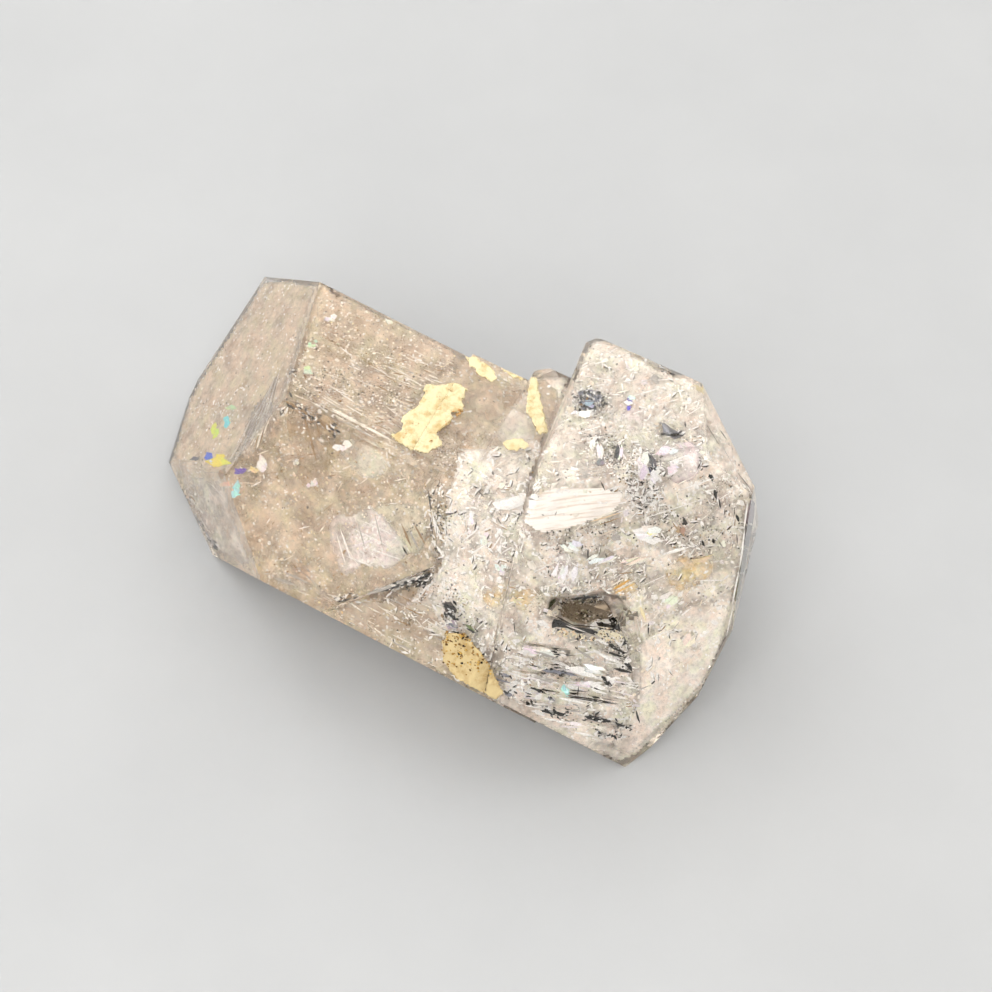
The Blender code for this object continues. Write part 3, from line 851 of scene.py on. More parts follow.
def ragged_edges(bits, sight, start, end, width, rng):
    """Small dark and white splinters along a broad dark line."""
    dx, dy = end[0] - start[0], end[1] - start[1]
    turn = math.atan2(dy, dx)
    for _ in range(int(math.hypot(dx, dy) * SPLINTERS_PER_PIXEL)):
        share = rng.random()
        off = rng.gauss(0, width * 0.45)
        px = start[0] + dx * share - math.sin(turn) * off
        py = start[1] + dy * share + math.cos(turn) * off
        tone = pick(SPLINTER_MIX, rng)
        size = rng.uniform(1.2, 4.0)
        lean = turn + rng.gauss(0, 0.5)
        outline = ragged_outline(px, py, size * 1.8, size * 0.7, lean, rng)
        photo_patch(bits, sight, outline, rng.uniform(*SPLINTER_DEPTHS), tone)


def drawn_lines(sight):
    """The streaks, cracks and plates that can be made out one by one in the photograph."""
    rng = random.Random(23)
    bits = Bits()
    for ax, ay, bx, by, width, tone in LINES:
        depth = LINE_DEPTH * rng.uniform(0.8, 1.3)
        photo_sliver(bits, sight, (ax, ay), (bx, by), width, depth, tone, rng)
    for ax, ay, bx, by, width, tone in LINES:
        if width >= BROAD_LINE and tone in (DARK, SLATE, BROWN):
            ragged_edges(bits, sight, (ax, ay), (bx, by), width, rng)
    for outline, depth, tone in PATCHES:
        photo_patch(bits, sight, outline, depth, tone)
    return bits


# Swarms of near-parallel slivers: (outline, count, angle in degrees, spread, lengths and widths
# in pixels, depths in mm, tones with weights)
SWARMS = [
    (STREAK_AREA, 130, 11.0, 6.0, (5, 28), (1.0, 3.6), (0.15, 0.5),
     [(DARK, 4), (GREY, 1), (SLATE, 1), (WHITE, 9), (CREAM, 3), (LILAC, 3)]),
    (RIGHT_BODY, 170, -20.0, 14.0, (5, 34), (0.8, 2.2), (0.15, 1.0), [(WHITE, 7), (CREAM, 3), (GREY, 1)]),
    (RIGHT_BODY, 90, 75.0, 16.0, (4, 14), (0.8, 2.0), (0.15, 0.8), [(DARK, 2), (GREY, 2), (WHITE, 5)]),
    (RIGHT_TOP, 90, -18.0, 10.0, (5, 24), (0.8, 2.0), (0.15, 1.0), [(WHITE, 6), (GREY, 2), (CREAM, 2)]),
    (TOP_STREAKS, 150, 24.0, 9.0, (5, 26), (0.8, 2.0), (0.15, 0.8),
     [(CREAM, 4), (SAND, 3), (BROWN, 2), (GREY, 2), (WHITE, 2)]),
    (WINDOW, 70, -32.0, 16.0, (5, 18), (0.8, 1.8), (0.3, 1.4),
     [(CREAM, 5), (SAND, 3), (WHITE, 2), (BROWN, 3)]),
    (MIDDLE, 110, -30.0, 25.0, (4, 18), (0.8, 2.2), (0.2, 1.2), [(WHITE, 6), (CREAM, 3), (GREY, 1)]),
    (FRONT_BAR, 70, 26.0, 8.0, (5, 26), (0.8, 2.2), (0.2, 1.0), [(CREAM, 5), (GREY, 1), (BROWN, 1)]),
    (RIGHT_EDGE, 60, -48.0, 12.0, (5, 18), (0.8, 2.4), (0.2, 0.8), [(CREAM, 5), (WHITE, 3), (SAND, 2)]),
]


def sliver_swarms(sight):
    """Growth streaks and fine fractures that run side by side."""
    rng = random.Random(24)
    bits = Bits()
    for px, py, angle, spread, lengths, widths, depths, tones in scattered(SWARMS, rng):
        turn = math.radians(angle + rng.gauss(0, spread))
        half = rng.uniform(*lengths) / 2
        dx, dy = math.cos(turn) * half, math.sin(turn) * half
        photo_sliver(bits, sight, (px - dx, py - dy), (px + dx, py + dy), rng.uniform(*widths),
                     rng.uniform(*depths), pick(tones, rng), rng)
    return bits


# Fine broken cracks: (outline, count, depths in mm)
CRACKED = [
    (RIGHT_BODY, 200, (0.12, 0.6)), (MIDDLE, 120, (0.12, 0.6)), (CURLS, 50, (0.12, 0.4)),
    (NET, 50, (0.12, 0.4)), (WINDOW_EDGE, 40, (0.12, 0.4)), (OVER_CAVITY, 45, (0.12, 0.4)),
    (RIGHT_OF_SILVER, 50, (0.12, 0.4)), (FRONT_BAR, 16, (0.12, 0.6)),
]
# Painted shadows beside the pale splinters: their tones, and how far right and down they sit in pixels
SHADOW_MIX = [(DARK, 4), (GREY, 3), (BROWN, 1)]
SHADOW_RIGHT = 0.8
SHADOW_DOWN = 1.3


def crackles(sight):
    """Short crooked splinters: a pale one, often with a dark painted shadow beside it."""
    rng = random.Random(29)
    bits = Bits()
    for px, py, depths in scattered(CRACKED, rng):
        heading = rng.uniform(0, 2 * math.pi)
        depth = rng.uniform(*depths)
        width = rng.uniform(1.2, 3.6)
        shadowed = rng.random() < 0.5
        for _ in range(rng.randint(1, 2)):
            step = rng.uniform(3.0, 9.0)
            nx, ny = px + math.cos(heading) * step, py + math.sin(heading) * step
            photo_sliver(bits, sight, (px, py), (nx, ny), width, depth, WHITE, rng)
            if shadowed:
                start = (px + SHADOW_RIGHT, py + SHADOW_DOWN)
                end = (nx + SHADOW_RIGHT, ny + SHADOW_DOWN)
                tone = pick(SHADOW_MIX, rng)
                photo_sliver(bits, sight, start, end, width * 0.7, depth, tone, rng)
            px, py = nx, ny
            heading += rng.choice((-1, 1)) * rng.uniform(0.6, 1.8)
    return bits


# The striated wedge on the end face: its apex and its two lower corners, in pixels
WEDGE_APEX = (281, 366)
WEDGE_FEET = ((222, 470), (262, 446))
WEDGE_LINES = 170
WEDGE_MIX = [((0.12, 0.095, 0.075), 6), (BROWN, 2), (CREAM, 6), (DARK, 1)]


def wedge_striae(sight):
    """Fine lines that fan out over the end face."""
    rng = random.Random(25)
    bits = Bits()
    (ax, ay), ((lx, ly), (rx, ry)) = WEDGE_APEX, WEDGE_FEET
    for _ in range(WEDGE_LINES):
        share = rng.random()
        fx, fy = lx + (rx - lx) * share, ly + (ry - ly) * share
        near = rng.uniform(0.05, 0.8)
        far = min(1.0, near + rng.uniform(0.1, 0.5))
        start = (ax + (fx - ax) * near, ay + (fy - ay) * near)
        end = (ax + (fx - ax) * far, ay + (fy - ay) * far)
        tone = pick(WEDGE_MIX, rng)
        photo_sliver(bits, sight, start, end, rng.uniform(0.7, 1.6), rng.uniform(0.06, 0.2), tone, rng)
    return bits


# Rainbow flakes: (middle x, y, length and width in pixels, angle in degrees, colour)
RAINBOW = [
    (220, 459, 20, 13, 5, (0.93, 0.86, 0.01)), (206, 458, 11, 8, 40, (0.01, 0.05, 0.62)),
    (212, 463, 9, 5, 45, (0.75, 0.8, 0.92)), (195, 459, 9, 4, -25, (0.05, 0.045, 0.05)),
    (241, 470, 10, 6, -20, (0.1, 0.07, 0.4)), (235, 489, 9, 12, 0, (0.28, 0.84, 0.97)),
    (228, 423, 8, 10, -10, (0.12, 0.74, 0.92)), (214, 430, 8, 14, 5, (0.62, 0.84, 0.04)),
    (232, 407, 9, 5, 0, (0.4, 0.66, 0.25)), (264, 465, 12, 16, 10, (0.98, 0.96, 0.9)),
    (255, 471, 9, 7, 0, (0.92, 0.62, 0.28)), (566, 690, 7, 9, 0, (0.38, 0.82, 0.92)),
    (224, 484, 8, 6, 20, (0.9, 0.5, 0.3)), (221, 475, 6, 9, 0, (0.22, 0.12, 0.05)),
    (312, 345, 7, 6, 0, (0.45, 0.72, 0.45)), (308, 370, 9, 7, 0, (0.5, 0.74, 0.45)),
    (588, 404, 14, 8, 0, (0.3, 0.38, 0.48)), (582, 413, 12, 5, -12, (0.95, 0.94, 0.93)),
    (589, 408, 12, 5, 18, (0.02, 0.02, 0.02)), (630, 400, 4, 5, 0, (0.05, 0.04, 0.35)),
    (632, 398, 8, 5, 0, (0.6, 0.85, 0.8)), (648, 532, 22, 12, -12, (0.97, 0.95, 0.9)),
    (650, 534, 7, 5, 0, (0.92, 0.78, 0.12)), (331, 318, 9, 6, 0, (0.97, 0.95, 0.95)),
    (389, 321, 6, 6, 0, (0.96, 0.96, 0.86)), (343, 448, 12, 8, 15, (0.95, 0.93, 0.91)),
    (560, 572, 26, 8, -70, (0.96, 0.92, 0.95)), (572, 548, 16, 7, 20, (0.97, 0.95, 0.94)),
    (602, 560, 24, 6, -20, (0.97, 0.94, 0.92)), (638, 560, 34, 4, -20, (0.9, 0.8, 0.66)),
    (680, 530, 7, 10, 0, (0.3, 0.2, 0.13)), (686, 522, 5, 6, 30, (0.02, 0.015, 0.012)),
    (616, 452, 6, 18, 4, (0.02, 0.02, 0.02)), (620, 450, 5, 16, 4, (0.97, 0.96, 0.95)),
    (597, 450, 8, 20, 0, (0.97, 0.96, 0.96)), (600, 462, 10, 8, 0, (0.1, 0.1, 0.12)),
    (652, 462, 5, 26, -24, (0.05, 0.05, 0.06)), (644, 470, 12, 22, 10, (0.7, 0.7, 0.7)),
    (655, 478, 12, 16, 0, (0.95, 0.95, 0.95)), (596, 668, 26, 8, 20, (0.97, 0.92, 0.92)),
    (586, 684, 20, 6, 16, (0.93, 0.86, 0.9)), (540, 652, 22, 7, 14, (0.96, 0.9, 0.86)),
    (520, 600, 14, 7, 0, (0.8, 0.62, 0.36)), (500, 568, 9, 6, 30, (0.97, 0.95, 0.94)),
    (484, 540, 8, 12, 20, (0.97, 0.95, 0.94)), (470, 520, 7, 12, 0, (0.96, 0.93, 0.9)),
    (700, 560, 22, 5, -20, (0.72, 0.5, 0.26)), (670, 600, 16, 8, -40, (0.97, 0.92, 0.84)),
    (690, 640, 18, 8, -60, (0.92, 0.78, 0.62)), (665, 450, 18, 10, -20, (0.86, 0.74, 0.82)),
    (672, 468, 16, 12, 0, (0.93, 0.82, 0.88)), (684, 446, 14, 6, 30, (0.5, 0.42, 0.5)),
    (313, 484, 9, 9, 0, (0.9, 0.78, 0.84)), (297, 461, 5, 5, 0, (0.97, 0.96, 0.95)),
]
RAINBOW_SHARDS = 6
RAINBOW_DEPTHS = (0.08, 0.2)


def rainbow_flakes(sight):
    """Bright flakes of single colours, as thin cracks show them."""
    rng = random.Random(26)
    bits = Bits()
    for px, py, length, width, angle, colour in RAINBOW:
        for _ in range(RAINBOW_SHARDS):
            cx, cy = px + rng.gauss(0, length * 0.22), py + rng.gauss(0, width * 0.22)
            share = rng.uniform(0.5, 0.9)
            shade = [min(1.0, c * rng.uniform(0.75, 1.15)) for c in colour]
            outline = ragged_outline(cx, cy, length * share, width * share, math.radians(angle), rng)
            photo_patch(bits, sight, outline, rng.uniform(*RAINBOW_DEPTHS), shade)
    return bits


def grid_spots(outline, pitch, margin=0):
    """The cells of a square grid over an outline: (column, row), x and y."""
    left, low, right, high = box_of(outline)
    for i in range(int((right - left + 2 * margin) / pitch) + 2):
        for j in range(int((high - low + 2 * margin) / pitch) + 2):
            yield (i, j), left - margin + i * pitch, low - margin + j * pitch


def corners_of(i, j):
    """The four corners of a grid cell, in turn."""
    return (i, j), (i + 1, j), (i + 1, j + 1), (i, j + 1)


def whole_cells(points, longest):
    """The grid cells that have all four corners and no side as long as the longest allowed."""
    for i, j in points:
        corners = corners_of(i, j)
        if all(c in points for c in corners):
            ring = [points[c] for c in corners]
            if max((a - b).length for a, b in zip(ring, ring[1:] + ring[:1])) < longest:
                yield i, j


def filled_share(cell, present, reach):
    """The share of the grid points within reach of one that are there."""
    i, j = cell
    steps = range(-reach, reach + 1)
    near = [(i + a, j + b) in present for a in steps for b in steps]
    return sum(near) / len(near)


def grid_mesh(name, points, longest, reach=2):
    """A sheet over a grid of points, without the cells that jump, with its border faded."""
    index = {cell: number for number, cell in enumerate(points)}
    verts = list(points.values())
    faces = [[index[c] for c in corners_of(*cell)] for cell in whole_cells(points, longest)]
    fades = [min(1.0, max(0.0, (filled_share(cell, points, reach) - 0.45) * 3.0)) for cell in points]
    used = sorted({i for face in faces for i in face})
    place = {old: new for new, old in enumerate(used)}
    mesh = bpy.data.meshes.new(name)
    mesh.from_pydata([verts[i] for i in used], [], [[place[i] for i in face] for face in faces])
    fade = mesh.attributes.new("fade", "FLOAT", "POINT")
    fade.data.foreach_set("value", [fades[i] for i in used])
    mesh.shade_smooth()
    return mesh


def smoothed(points, rounds):
    """Evens out a grid of points, so that a sheet bends gently under the crystal's edges."""
    for _ in range(rounds):
        even = {}
        for (i, j), point in points.items():
            near = [points[c] for c in ((i - 1, j), (i + 1, j), (i, j - 1), (i, j + 1)) if c in points]
            whole = len(near) == 4
            even[i, j] = point * 0.5 + sum(near, Vector()) * (0.5 / len(near)) if whole else point
        points = even
    return points


# The sheets keep this far from the faces, and have no side longer than this
SHEET_GAP = 0.1 * MM
SMOOTHED_GAP = 0.08 * MM
SMOOTHINGS = 6
LONGEST_SIDE = 1.6 * MM


def sheet_mesh(name, sight, outline, depth, pitch, wave, seed, reach=2):
    """A wavy sheet inside the crystal, cut to a ragged outline given in pixels."""
    shift = Vector((seed * 7.1, seed * 3.7, 0.0))
    points = {}
    for cell, px, py in grid_spots(outline, pitch):
        spot = Vector((px, py, 0.0))
        jitter = noise.noise(spot * 0.06 + shift) * 1.5 * pitch
        if not inside_outline(px + jitter, py - jitter, outline):
            continue
        swell = 1.0 + wave * noise.noise(spot * 0.02 + shift)
        point = sight.straight(px, py, depth * swell * MM)
        if point and sight.room_at(point) > SHEET_GAP:
            points[cell] = point
    even = smoothed(points, SMOOTHINGS)
    points = {cell: point for cell, point in even.items() if sight.room_at(point) > SMOOTHED_GAP}
    return grid_mesh(name, points, LONGEST_SIDE, reach)


def joined(name, meshes):
    """One mesh out of many."""
    bm = bmesh.new()
    for mesh in meshes:
        bm.from_mesh(mesh)
    return mesh_of(bm, name)


# Sheets under the hidden faces: least area of a face in square mm, grid and clearance in mm,
# fewest grid points
FACE_VEIL_AREA = 10.0
FACE_VEIL_PITCH = 0.35
FACE_VEIL_GAP = 0.25
FACE_VEIL_POINTS = 20


def face_veils(sight, bm):
    """Cloudy sheets under the faces that the photograph doesn't show."""
    rng = random.Random(28)
    meshes = []
    for face in bm.faces:
        seen = face.normal.dot(BACK) > 0.1
        if seen or face.calc_area() < FACE_VEIL_AREA * MM * MM:
            continue
        depth = rng.uniform(0.6, 1.8)
        along, across = flat_axes(face.normal, Vector((1, 0, 0)))
        corners = [(v.co.dot(along) / MM, v.co.dot(across) / MM) for v in face.verts]
        level = face.verts[0].co.dot(face.normal)
        shift = Vector((rng.uniform(0, 50), rng.uniform(0, 50), 0.0))
        points = {}
        for cell, x, y in grid_spots(corners, FACE_VEIL_PITCH):
            if not inside_outline(x, y, corners):
                continue
            swell = 1.0 + 0.6 * noise.noise(Vector((x, y, 0.0)) * 0.3 + shift)
            point = along * x * MM + across * y * MM + face.normal * (level - depth * swell * MM)
            if sight.room_at(point) > FACE_VEIL_GAP * MM:
                points[cell] = point
        if len(points) > FACE_VEIL_POINTS:
            meshes.append(grid_mesh("face_veil", points, 3.0 * FACE_VEIL_PITCH * MM))
    return meshes


SILVER_PLANE = [(492, 503), (500, 499), (523, 493), (552, 486), (582, 485), (604, 487), (623, 491),
                (621, 503), (613, 512), (594, 519), (567, 528), (546, 533), (533, 529), (523, 524),
                (517, 512)]

# Tones of the cloudy sheets: (stop on the ramp, colour)
LEFT_TONES = [(0.3, (0.36, 0.24, 0.145)), (0.44, (0.6, 0.45, 0.31)), (0.6, (0.74, 0.6, 0.44))]
END_TONES = [(0.3, (0.28, 0.18, 0.1)), (0.44, (0.46, 0.335, 0.215)), (0.6, (0.6, 0.465, 0.315))]
TOP_TONES = [(0.3, (0.28, 0.2, 0.13)), (0.44, (0.46, 0.35, 0.25)), (0.6, (0.64, 0.52, 0.39))]
RIGHT_TONES = [(0.3, (0.68, 0.53, 0.42)), (0.42, (0.93, 0.79, 0.66)), (0.56, (0.98, 0.91, 0.82))]
SHADED_TONES = [(0.3, (0.48, 0.4, 0.33)), (0.44, (0.76, 0.66, 0.56)), (0.58, (0.92, 0.84, 0.75))]
MIDDLE_TONES = [(0.3, (0.68, 0.54, 0.43)), (0.42, (0.91, 0.79, 0.66)), (0.56, (0.98, 0.93, 0.85))]
PINK_TONES = [(0.3, (0.84, 0.65, 0.52)), (0.46, (0.97, 0.84, 0.72)), (0.6, (0.99, 0.93, 0.86))]
RUST_TONES = [(0.34, (0.42, 0.22, 0.07)), (0.48, (0.76, 0.5, 0.22)), (0.6, (0.92, 0.74, 0.46))]
WEDGE_TONES = [(0.34, (0.16, 0.13, 0.105)), (0.48, (0.33, 0.28, 0.235)), (0.62, (0.5, 0.435, 0.37))]
VEIN_TONES = [(0.3, (0.1, 0.06, 0.03)), (0.46, (0.26, 0.17, 0.09)), (0.62, (0.42, 0.3, 0.19))]

# Healed fractures as cloudy sheets: name, outline, depth in mm, tones, noise scale per mm,
# cover (noise low and high, alpha least and most), shares of dark and white specks
VEILS = [
    ("veil_left_deep", LEFT_SIDE, 3.8, LEFT_TONES, 1.0, (0.26, 0.5, 0.6, 1.0), 0.0, 0.02),
    ("veil_left_mid", LEFT_SIDE, 1.4, LEFT_TONES, 1.4, (0.34, 0.6, 0.15, 0.85), 0.002, 0.05),
    ("veil_right_deep", RIGHT_SIDE, 3.4, RIGHT_TONES, 0.8, (0.26, 0.5, 0.7, 1.0), 0.004, 0.03),
    ("veil_right_mid", RIGHT_SIDE, 1.5, RIGHT_TONES, 1.0, (0.32, 0.58, 0.3, 0.95), 0.006, 0.05),
    ("veil_right_near", RIGHT_BODY, 0.7, RIGHT_TONES, 1.6, (0.36, 0.58, 0.15, 0.95), 0.012, 0.08),
    ("veil_right_top", RIGHT_TOP, 0.6, SHADED_TONES, 1.8, (0.38, 0.62, 0.1, 0.8), 0.02, 0.1),
    ("veil_middle", MIDDLE, 0.9, MIDDLE_TONES, 1.3, (0.3, 0.56, 0.4, 1.0), 0.01, 0.08),
    ("veil_top_band", TOP_BAND, 0.9, TOP_TONES, 1.2, (0.32, 0.58, 0.2, 0.9), 0.012, 0.04),
    ("veil_end", END_FACE, 0.8, END_TONES, 1.4, (0.26, 0.5, 0.6, 1.0), 0.004, 0.04),
    ("veil_wedge", [(280, 364), (288, 384), (290, 404), (268, 442), (248, 458), (222, 476), (238, 434)],
     0.45, WEDGE_TONES, 2.2, (0.34, 0.58, 0.25, 0.85), 0.02, 0.06),
    ("veil_low_end", LOW_END, 0.7, MIDDLE_TONES, 1.6, (0.38, 0.62, 0.1, 0.9), 0.02, 0.08),
    ("veil_front", FRONT_BAR, 0.8, TOP_TONES, 1.2, (0.34, 0.6, 0.3, 0.95), 0.01, 0.04),
    ("veil_vein", [(284, 398), (318, 412), (344, 430), (350, 446), (332, 470), (318, 500), (300, 480),
                   (288, 436)],
     0.7, VEIN_TONES, 1.3, (0.38, 0.6, 0.0, 0.8), 0.01, 0.04),
    ("veil_vein_dark", [(284, 398), (304, 406), (330, 420), (342, 432), (336, 442), (318, 430), (296, 416)],
     0.4, VEIN_TONES, 2.4, (0.4, 0.56, 0.0, 0.9), 0.02, 0.03),
    ("cloud_window", [(328, 524), (340, 508), (352, 514), (372, 500), (398, 524), (414, 552), (392, 572),
                      (366, 564), (344, 582), (336, 556)],
     0.8, [(0.34, (0.74, 0.63, 0.55)), (0.46, LILAC), (0.58, (0.93, 0.87, 0.88))], 1.8,
     (0.32, 0.52, 0.3, 0.95), 0.0, 0.1),
    ("cloud_sage", [(336, 442), (356, 434), (380, 446), (396, 462), (382, 482), (352, 474)], 0.8,
     [(0.34, (0.66, 0.62, 0.48)), (0.5, (0.8, 0.8, 0.68))], 1.8, (0.34, 0.56, 0.1, 0.7), 0.0, 0.1),
    ("cloud_moss", [(372, 500), (424, 500), (432, 520), (426, 560), (396, 548), (380, 524)], 0.9,
     [(0.34, (0.3, 0.24, 0.14)), (0.46, (0.58, 0.52, 0.36)), (0.6, (0.72, 0.64, 0.48))], 1.8,
     (0.3, 0.5, 0.3, 0.9), 0.03, 0.03),
    ("cloud_lilac", [(658, 440), (690, 440), (704, 456), (696, 480), (672, 484), (658, 466)], 0.5,
     [(0.34, (0.4, 0.33, 0.36)), (0.46, (0.66, 0.56, 0.6)), (0.6, (0.86, 0.76, 0.78))], 1.6,
     (0.3, 0.55, 0.3, 0.9), 0.0, 0.05),
    ("cloud_ash", [(262, 566), (318, 582), (310, 596), (280, 590)], 0.6,
     [(0.34, (0.18, 0.17, 0.15)), (0.5, (0.42, 0.38, 0.33))], 1.6, (0.36, 0.56, 0.1, 0.9), 0.03, 0.03),
    ("veil_streaks", STREAK_AREA, 0.7, PINK_TONES, 1.4, (0.3, 0.5, 0.6, 1.0), 0.02, 0.06),
    ("veil_low_right", LOW_RIGHT, 0.6, PINK_TONES, 1.2, (0.28, 0.48, 0.5, 1.0), 0.0, 0.03),
    ("cloud_rust", [(662, 562), (690, 550), (716, 556), (712, 580), (684, 594), (662, 582)], 0.4,
     RUST_TONES, 2.0, (0.32, 0.54, 0.1, 0.9), 0.0, 0.04),
    ("cloud_ochre", [(476, 590), (500, 580), (546, 588), (556, 604), (530, 614), (490, 608)], 0.4,
     RUST_TONES, 2.0, (0.34, 0.56, 0.05, 0.85), 0.0, 0.06),
    ("cloud_orange", [(604, 596), (612, 580), (630, 572), (642, 580), (640, 596), (622, 606)], 0.4,
     RUST_TONES, 2.4, (0.28, 0.5, 0.2, 0.95), 0.0, 0.08),
    ("cloud_white", [(548, 556), (562, 546), (578, 560), (582, 588), (566, 596), (552, 582)], 0.4,
     [(0.34, (0.78, 0.7, 0.74)), (0.5, (0.95, 0.91, 0.93))], 2.4, (0.34, 0.56, 0.1, 0.95), 0.0, 0.1),
    ("cloud_pink", [(616, 412), (632, 404), (650, 416), (646, 434), (626, 438)], 0.4,
     [(0.34, (0.74, 0.56, 0.62)), (0.5, (0.94, 0.84, 0.88))], 2.4, (0.34, 0.56, 0.1, 0.85), 0.01, 0.08),
]

# The clay: its colours, and its crusts as (name, thickness in mm, outline)
CLAY_PALE = (0.455, 0.395, 0.243)
CLAY_DEEP = (0.335, 0.25, 0.11)
CLAY_CRUSTS = [
    ("clay_patch", 0.16, [
        (424, 384), (440, 386), (456, 382), (469, 390), (463, 400), (464, 411), (453, 413), (452, 423),
        (437, 433), (443, 446), (426, 454), (412, 450), (400, 444), (389, 436), (401, 430), (401, 416),
        (415, 408), (424, 395)]),
    ("clay_streak_1", 0.1,
     [(461, 350), (471, 354), (491, 366), (499, 378), (491, 383), (479, 376), (466, 360)]),
    ("clay_streak_2", 0.1, [(499, 366), (513, 369), (527, 374), (530, 381), (512, 379)]),
    ("clay_streak_3", 0.12, [(530, 376), (537, 377), (542, 401), (549, 433), (538, 434), (525, 409)]),
    ("clay_spot_1", 0.07, [(501, 442), (512, 438), (524, 439), (531, 447), (516, 452), (505, 449)]),
    ("clay_spot_2", 0.07, [(692, 383), (703, 386), (706, 395), (695, 391)]),
]
FILM_OUTLINE = [(446, 631), (466, 633), (474, 644), (483, 653), (493, 670), (504, 693), (497, 701),
                (476, 690), (455, 679), (443, 662), (441, 643)]
FILM_PALE = (0.35, 0.275, 0.14)
FILM_DEEP = (0.255, 0.175, 0.07)
FILM_THICK = 0.05
FILM_SEED = 41

# Grid pitches of the crusts in pixels, and how much of each is stained brown
CRUST_PITCH = 1.0
FILM_PITCH = 1.5
CLAY_BROWN = 0.12
FILM_BROWN = 0.3

# A crust's outline wavers by about this many pixels, and its grid is wider by the margin
CRUST_WAVER = 2.2
CRUST_MARGIN = 4
CRUST_FOOT = 0.03 * MM
CRUST_TOP = CAD_BOX[1].z - 0.01 * MM
CRUST_SIDE = 0.7 * MM


def crust_spots(sight, outline, pitch, shift):
    """The grid points of a crust's ragged outline: cell to point and normal on the crystal."""
    spots = {}
    for cell, px, py in grid_spots(outline, pitch, CRUST_MARGIN):
        ragged = Vector((px, py, 0.0)) * 0.25 + shift
        off_x, off_y = CRUST_WAVER * noise.noise(ragged), CRUST_WAVER * noise.noise(-ragged)
        if inside_outline(px + off_x, py + off_y, outline):
            hit = sight.surface(px, py)
            if hit:
                spots[cell] = hit
    return spots


def crust_mesh(name, sight, outline, thick, pitch, seed, longest=CRUST_SIDE):
    """A closed lumpy crust that sits on the surface, thin towards its ragged outline."""
    shift = Vector((seed * 5.3, seed * 2.9, 0.0))
    spots = crust_spots(sight, outline, pitch, shift)
    tops, feet = {}, {}
    for cell, (point, normal) in spots.items():
        lumps = 0.75 + 0.5 * noise.fractal(point / MM * 2.6 + shift, 0.8, 2.0, 4)
        bulk = min(1.0, max(0.1, (filled_share(cell, spots, 2) - 0.35) * 2.0))
        rise = thick * max(0.12, lumps) * bulk
        tops[cell] = point + normal * rise * MM
        tops[cell].z = min(tops[cell].z, CRUST_TOP)
        feet[cell] = point - normal * CRUST_FOOT
    cells = set(whole_cells(tops, longest))
    used = sorted({corner for cell in cells for corner in corners_of(*cell)})
    bm = bmesh.new()
    above = {cell: bm.verts.new(tops[cell]) for cell in used}
    below = {cell: bm.verts.new(feet[cell]) for cell in used}
    for i, j in sorted(cells):
        ring = corners_of(i, j)
        bm.faces.new([above[c] for c in ring[::-1]])
        bm.faces.new([below[c] for c in ring])
        beside = ((i, j - 1), (i + 1, j), (i, j + 1), (i - 1, j))
        for neighbour, a, b in zip(beside, ring, ring[1:] + ring[:1]):
            if neighbour not in cells:
                bm.faces.new([above[a], above[b], below[b], below[a]])
    bmesh.ops.recalc_face_normals(bm, faces=bm.faces)
    return mesh_of(bm, name)


# Grains on the film: how many are tried, and the rows between which they thin out
FILM_GRAINS = 420
THICK_ROW = 632
BARE_ROW = 677
FILM_MIX = [((0.1, 0.05, 0.015), 4), ((0.22, 0.11, 0.02), 4), ((0.38, 0.24, 0.06), 3), (DARK, 1)]

# Brown marks on the clay patch: pixel and size in mm
CLAY_MARKS = [(460, 413, 0.22), (456, 415, 0.16), (447, 425, 0.12), (425, 402, 0.1), (438, 398, 0.08),
              (405, 436, 0.12), (430, 442, 0.1), (452, 392, 0.09), (416, 424, 0.08), (441, 410, 0.08)]
MARK_GRAINS = 5
MARK_MIX = [((0.36, 0.19, 0.06), 4), ((0.2, 0.1, 0.03), 2), ((0.45, 0.3, 0.12), 2)]


def clay_grains(sight):
    """Brown grains of ochre on the clay film, and brown marks on the clay patch."""
    rng = random.Random(27)
    bits = Bits(sealed=False)
    for _ in range(FILM_GRAINS):
        px, py = pixel_in(FILM_OUTLINE, rng)
        if rng.random() < (py - THICK_ROW) / (BARE_ROW - THICK_ROW):
            continue
        hit = sight.surface(px, py)
        if hit is None:
            continue
        point, normal = hit
        size = rng.uniform(0.07, 0.22) * MM
        along, across = flat_axes(tilted(normal, 0.6, rng), RIGHT)
        tone = pick(FILM_MIX, rng)
        bits.shard(point + normal * 0.07 * MM, along, across, size, size * 0.8, size * 0.4, tone, rng, 6)
    for px, py, size in CLAY_MARKS:
        for _ in range(MARK_GRAINS):
            point, normal = sight.surface(px + rng.gauss(0, 1.2), py + rng.gauss(0, 1.2))
            along, across = flat_axes(tilted(normal, 0.4, rng), RIGHT)
            tone = pick(MARK_MIX, rng)
            length = size * MM * rng.uniform(0.6, 1.2)
            bits.shard(point + normal * 0.13 * MM, along, across, length, size * 0.8 * MM, 0.05 * MM,
                       tone, rng, 6)
    return bits


LONG_EDGE = 1.6 * MM
SHARP_EDGE = math.radians(12.0)
EDGE_ROUND = 0.05 * MM


def quartz_body():
    """The crystal itself, with its edges a little rounded."""
    bm = clean_crystal()
    edges = [e for e in bm.edges if e.calc_length() > LONG_EDGE and e.calc_face_angle(0.0) > SHARP_EDGE]
    bmesh.ops.bevel(bm, geom=edges, offset=EDGE_ROUND, segments=2, profile=0.5, affect="EDGES",
                    clamp_overlap=True)
    piece = keep_piece("quartz_body", mesh_of(bm, "quartz_body"), quartz_material())
    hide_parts(NODE)


# The grids of the sheets, in pixels, and how many grid points wide their borders fade
VEIL_GRID = {"pitch": 3.0, "wave": 0.3, "reach": 2}
CLOUD_GRID = {"pitch": 2.5, "wave": 0.3, "reach": 4}
SILVER_GRID = {"pitch": 2.0, "wave": 0.2, "seed": 31}
SILVER_DEPTH = 0.4


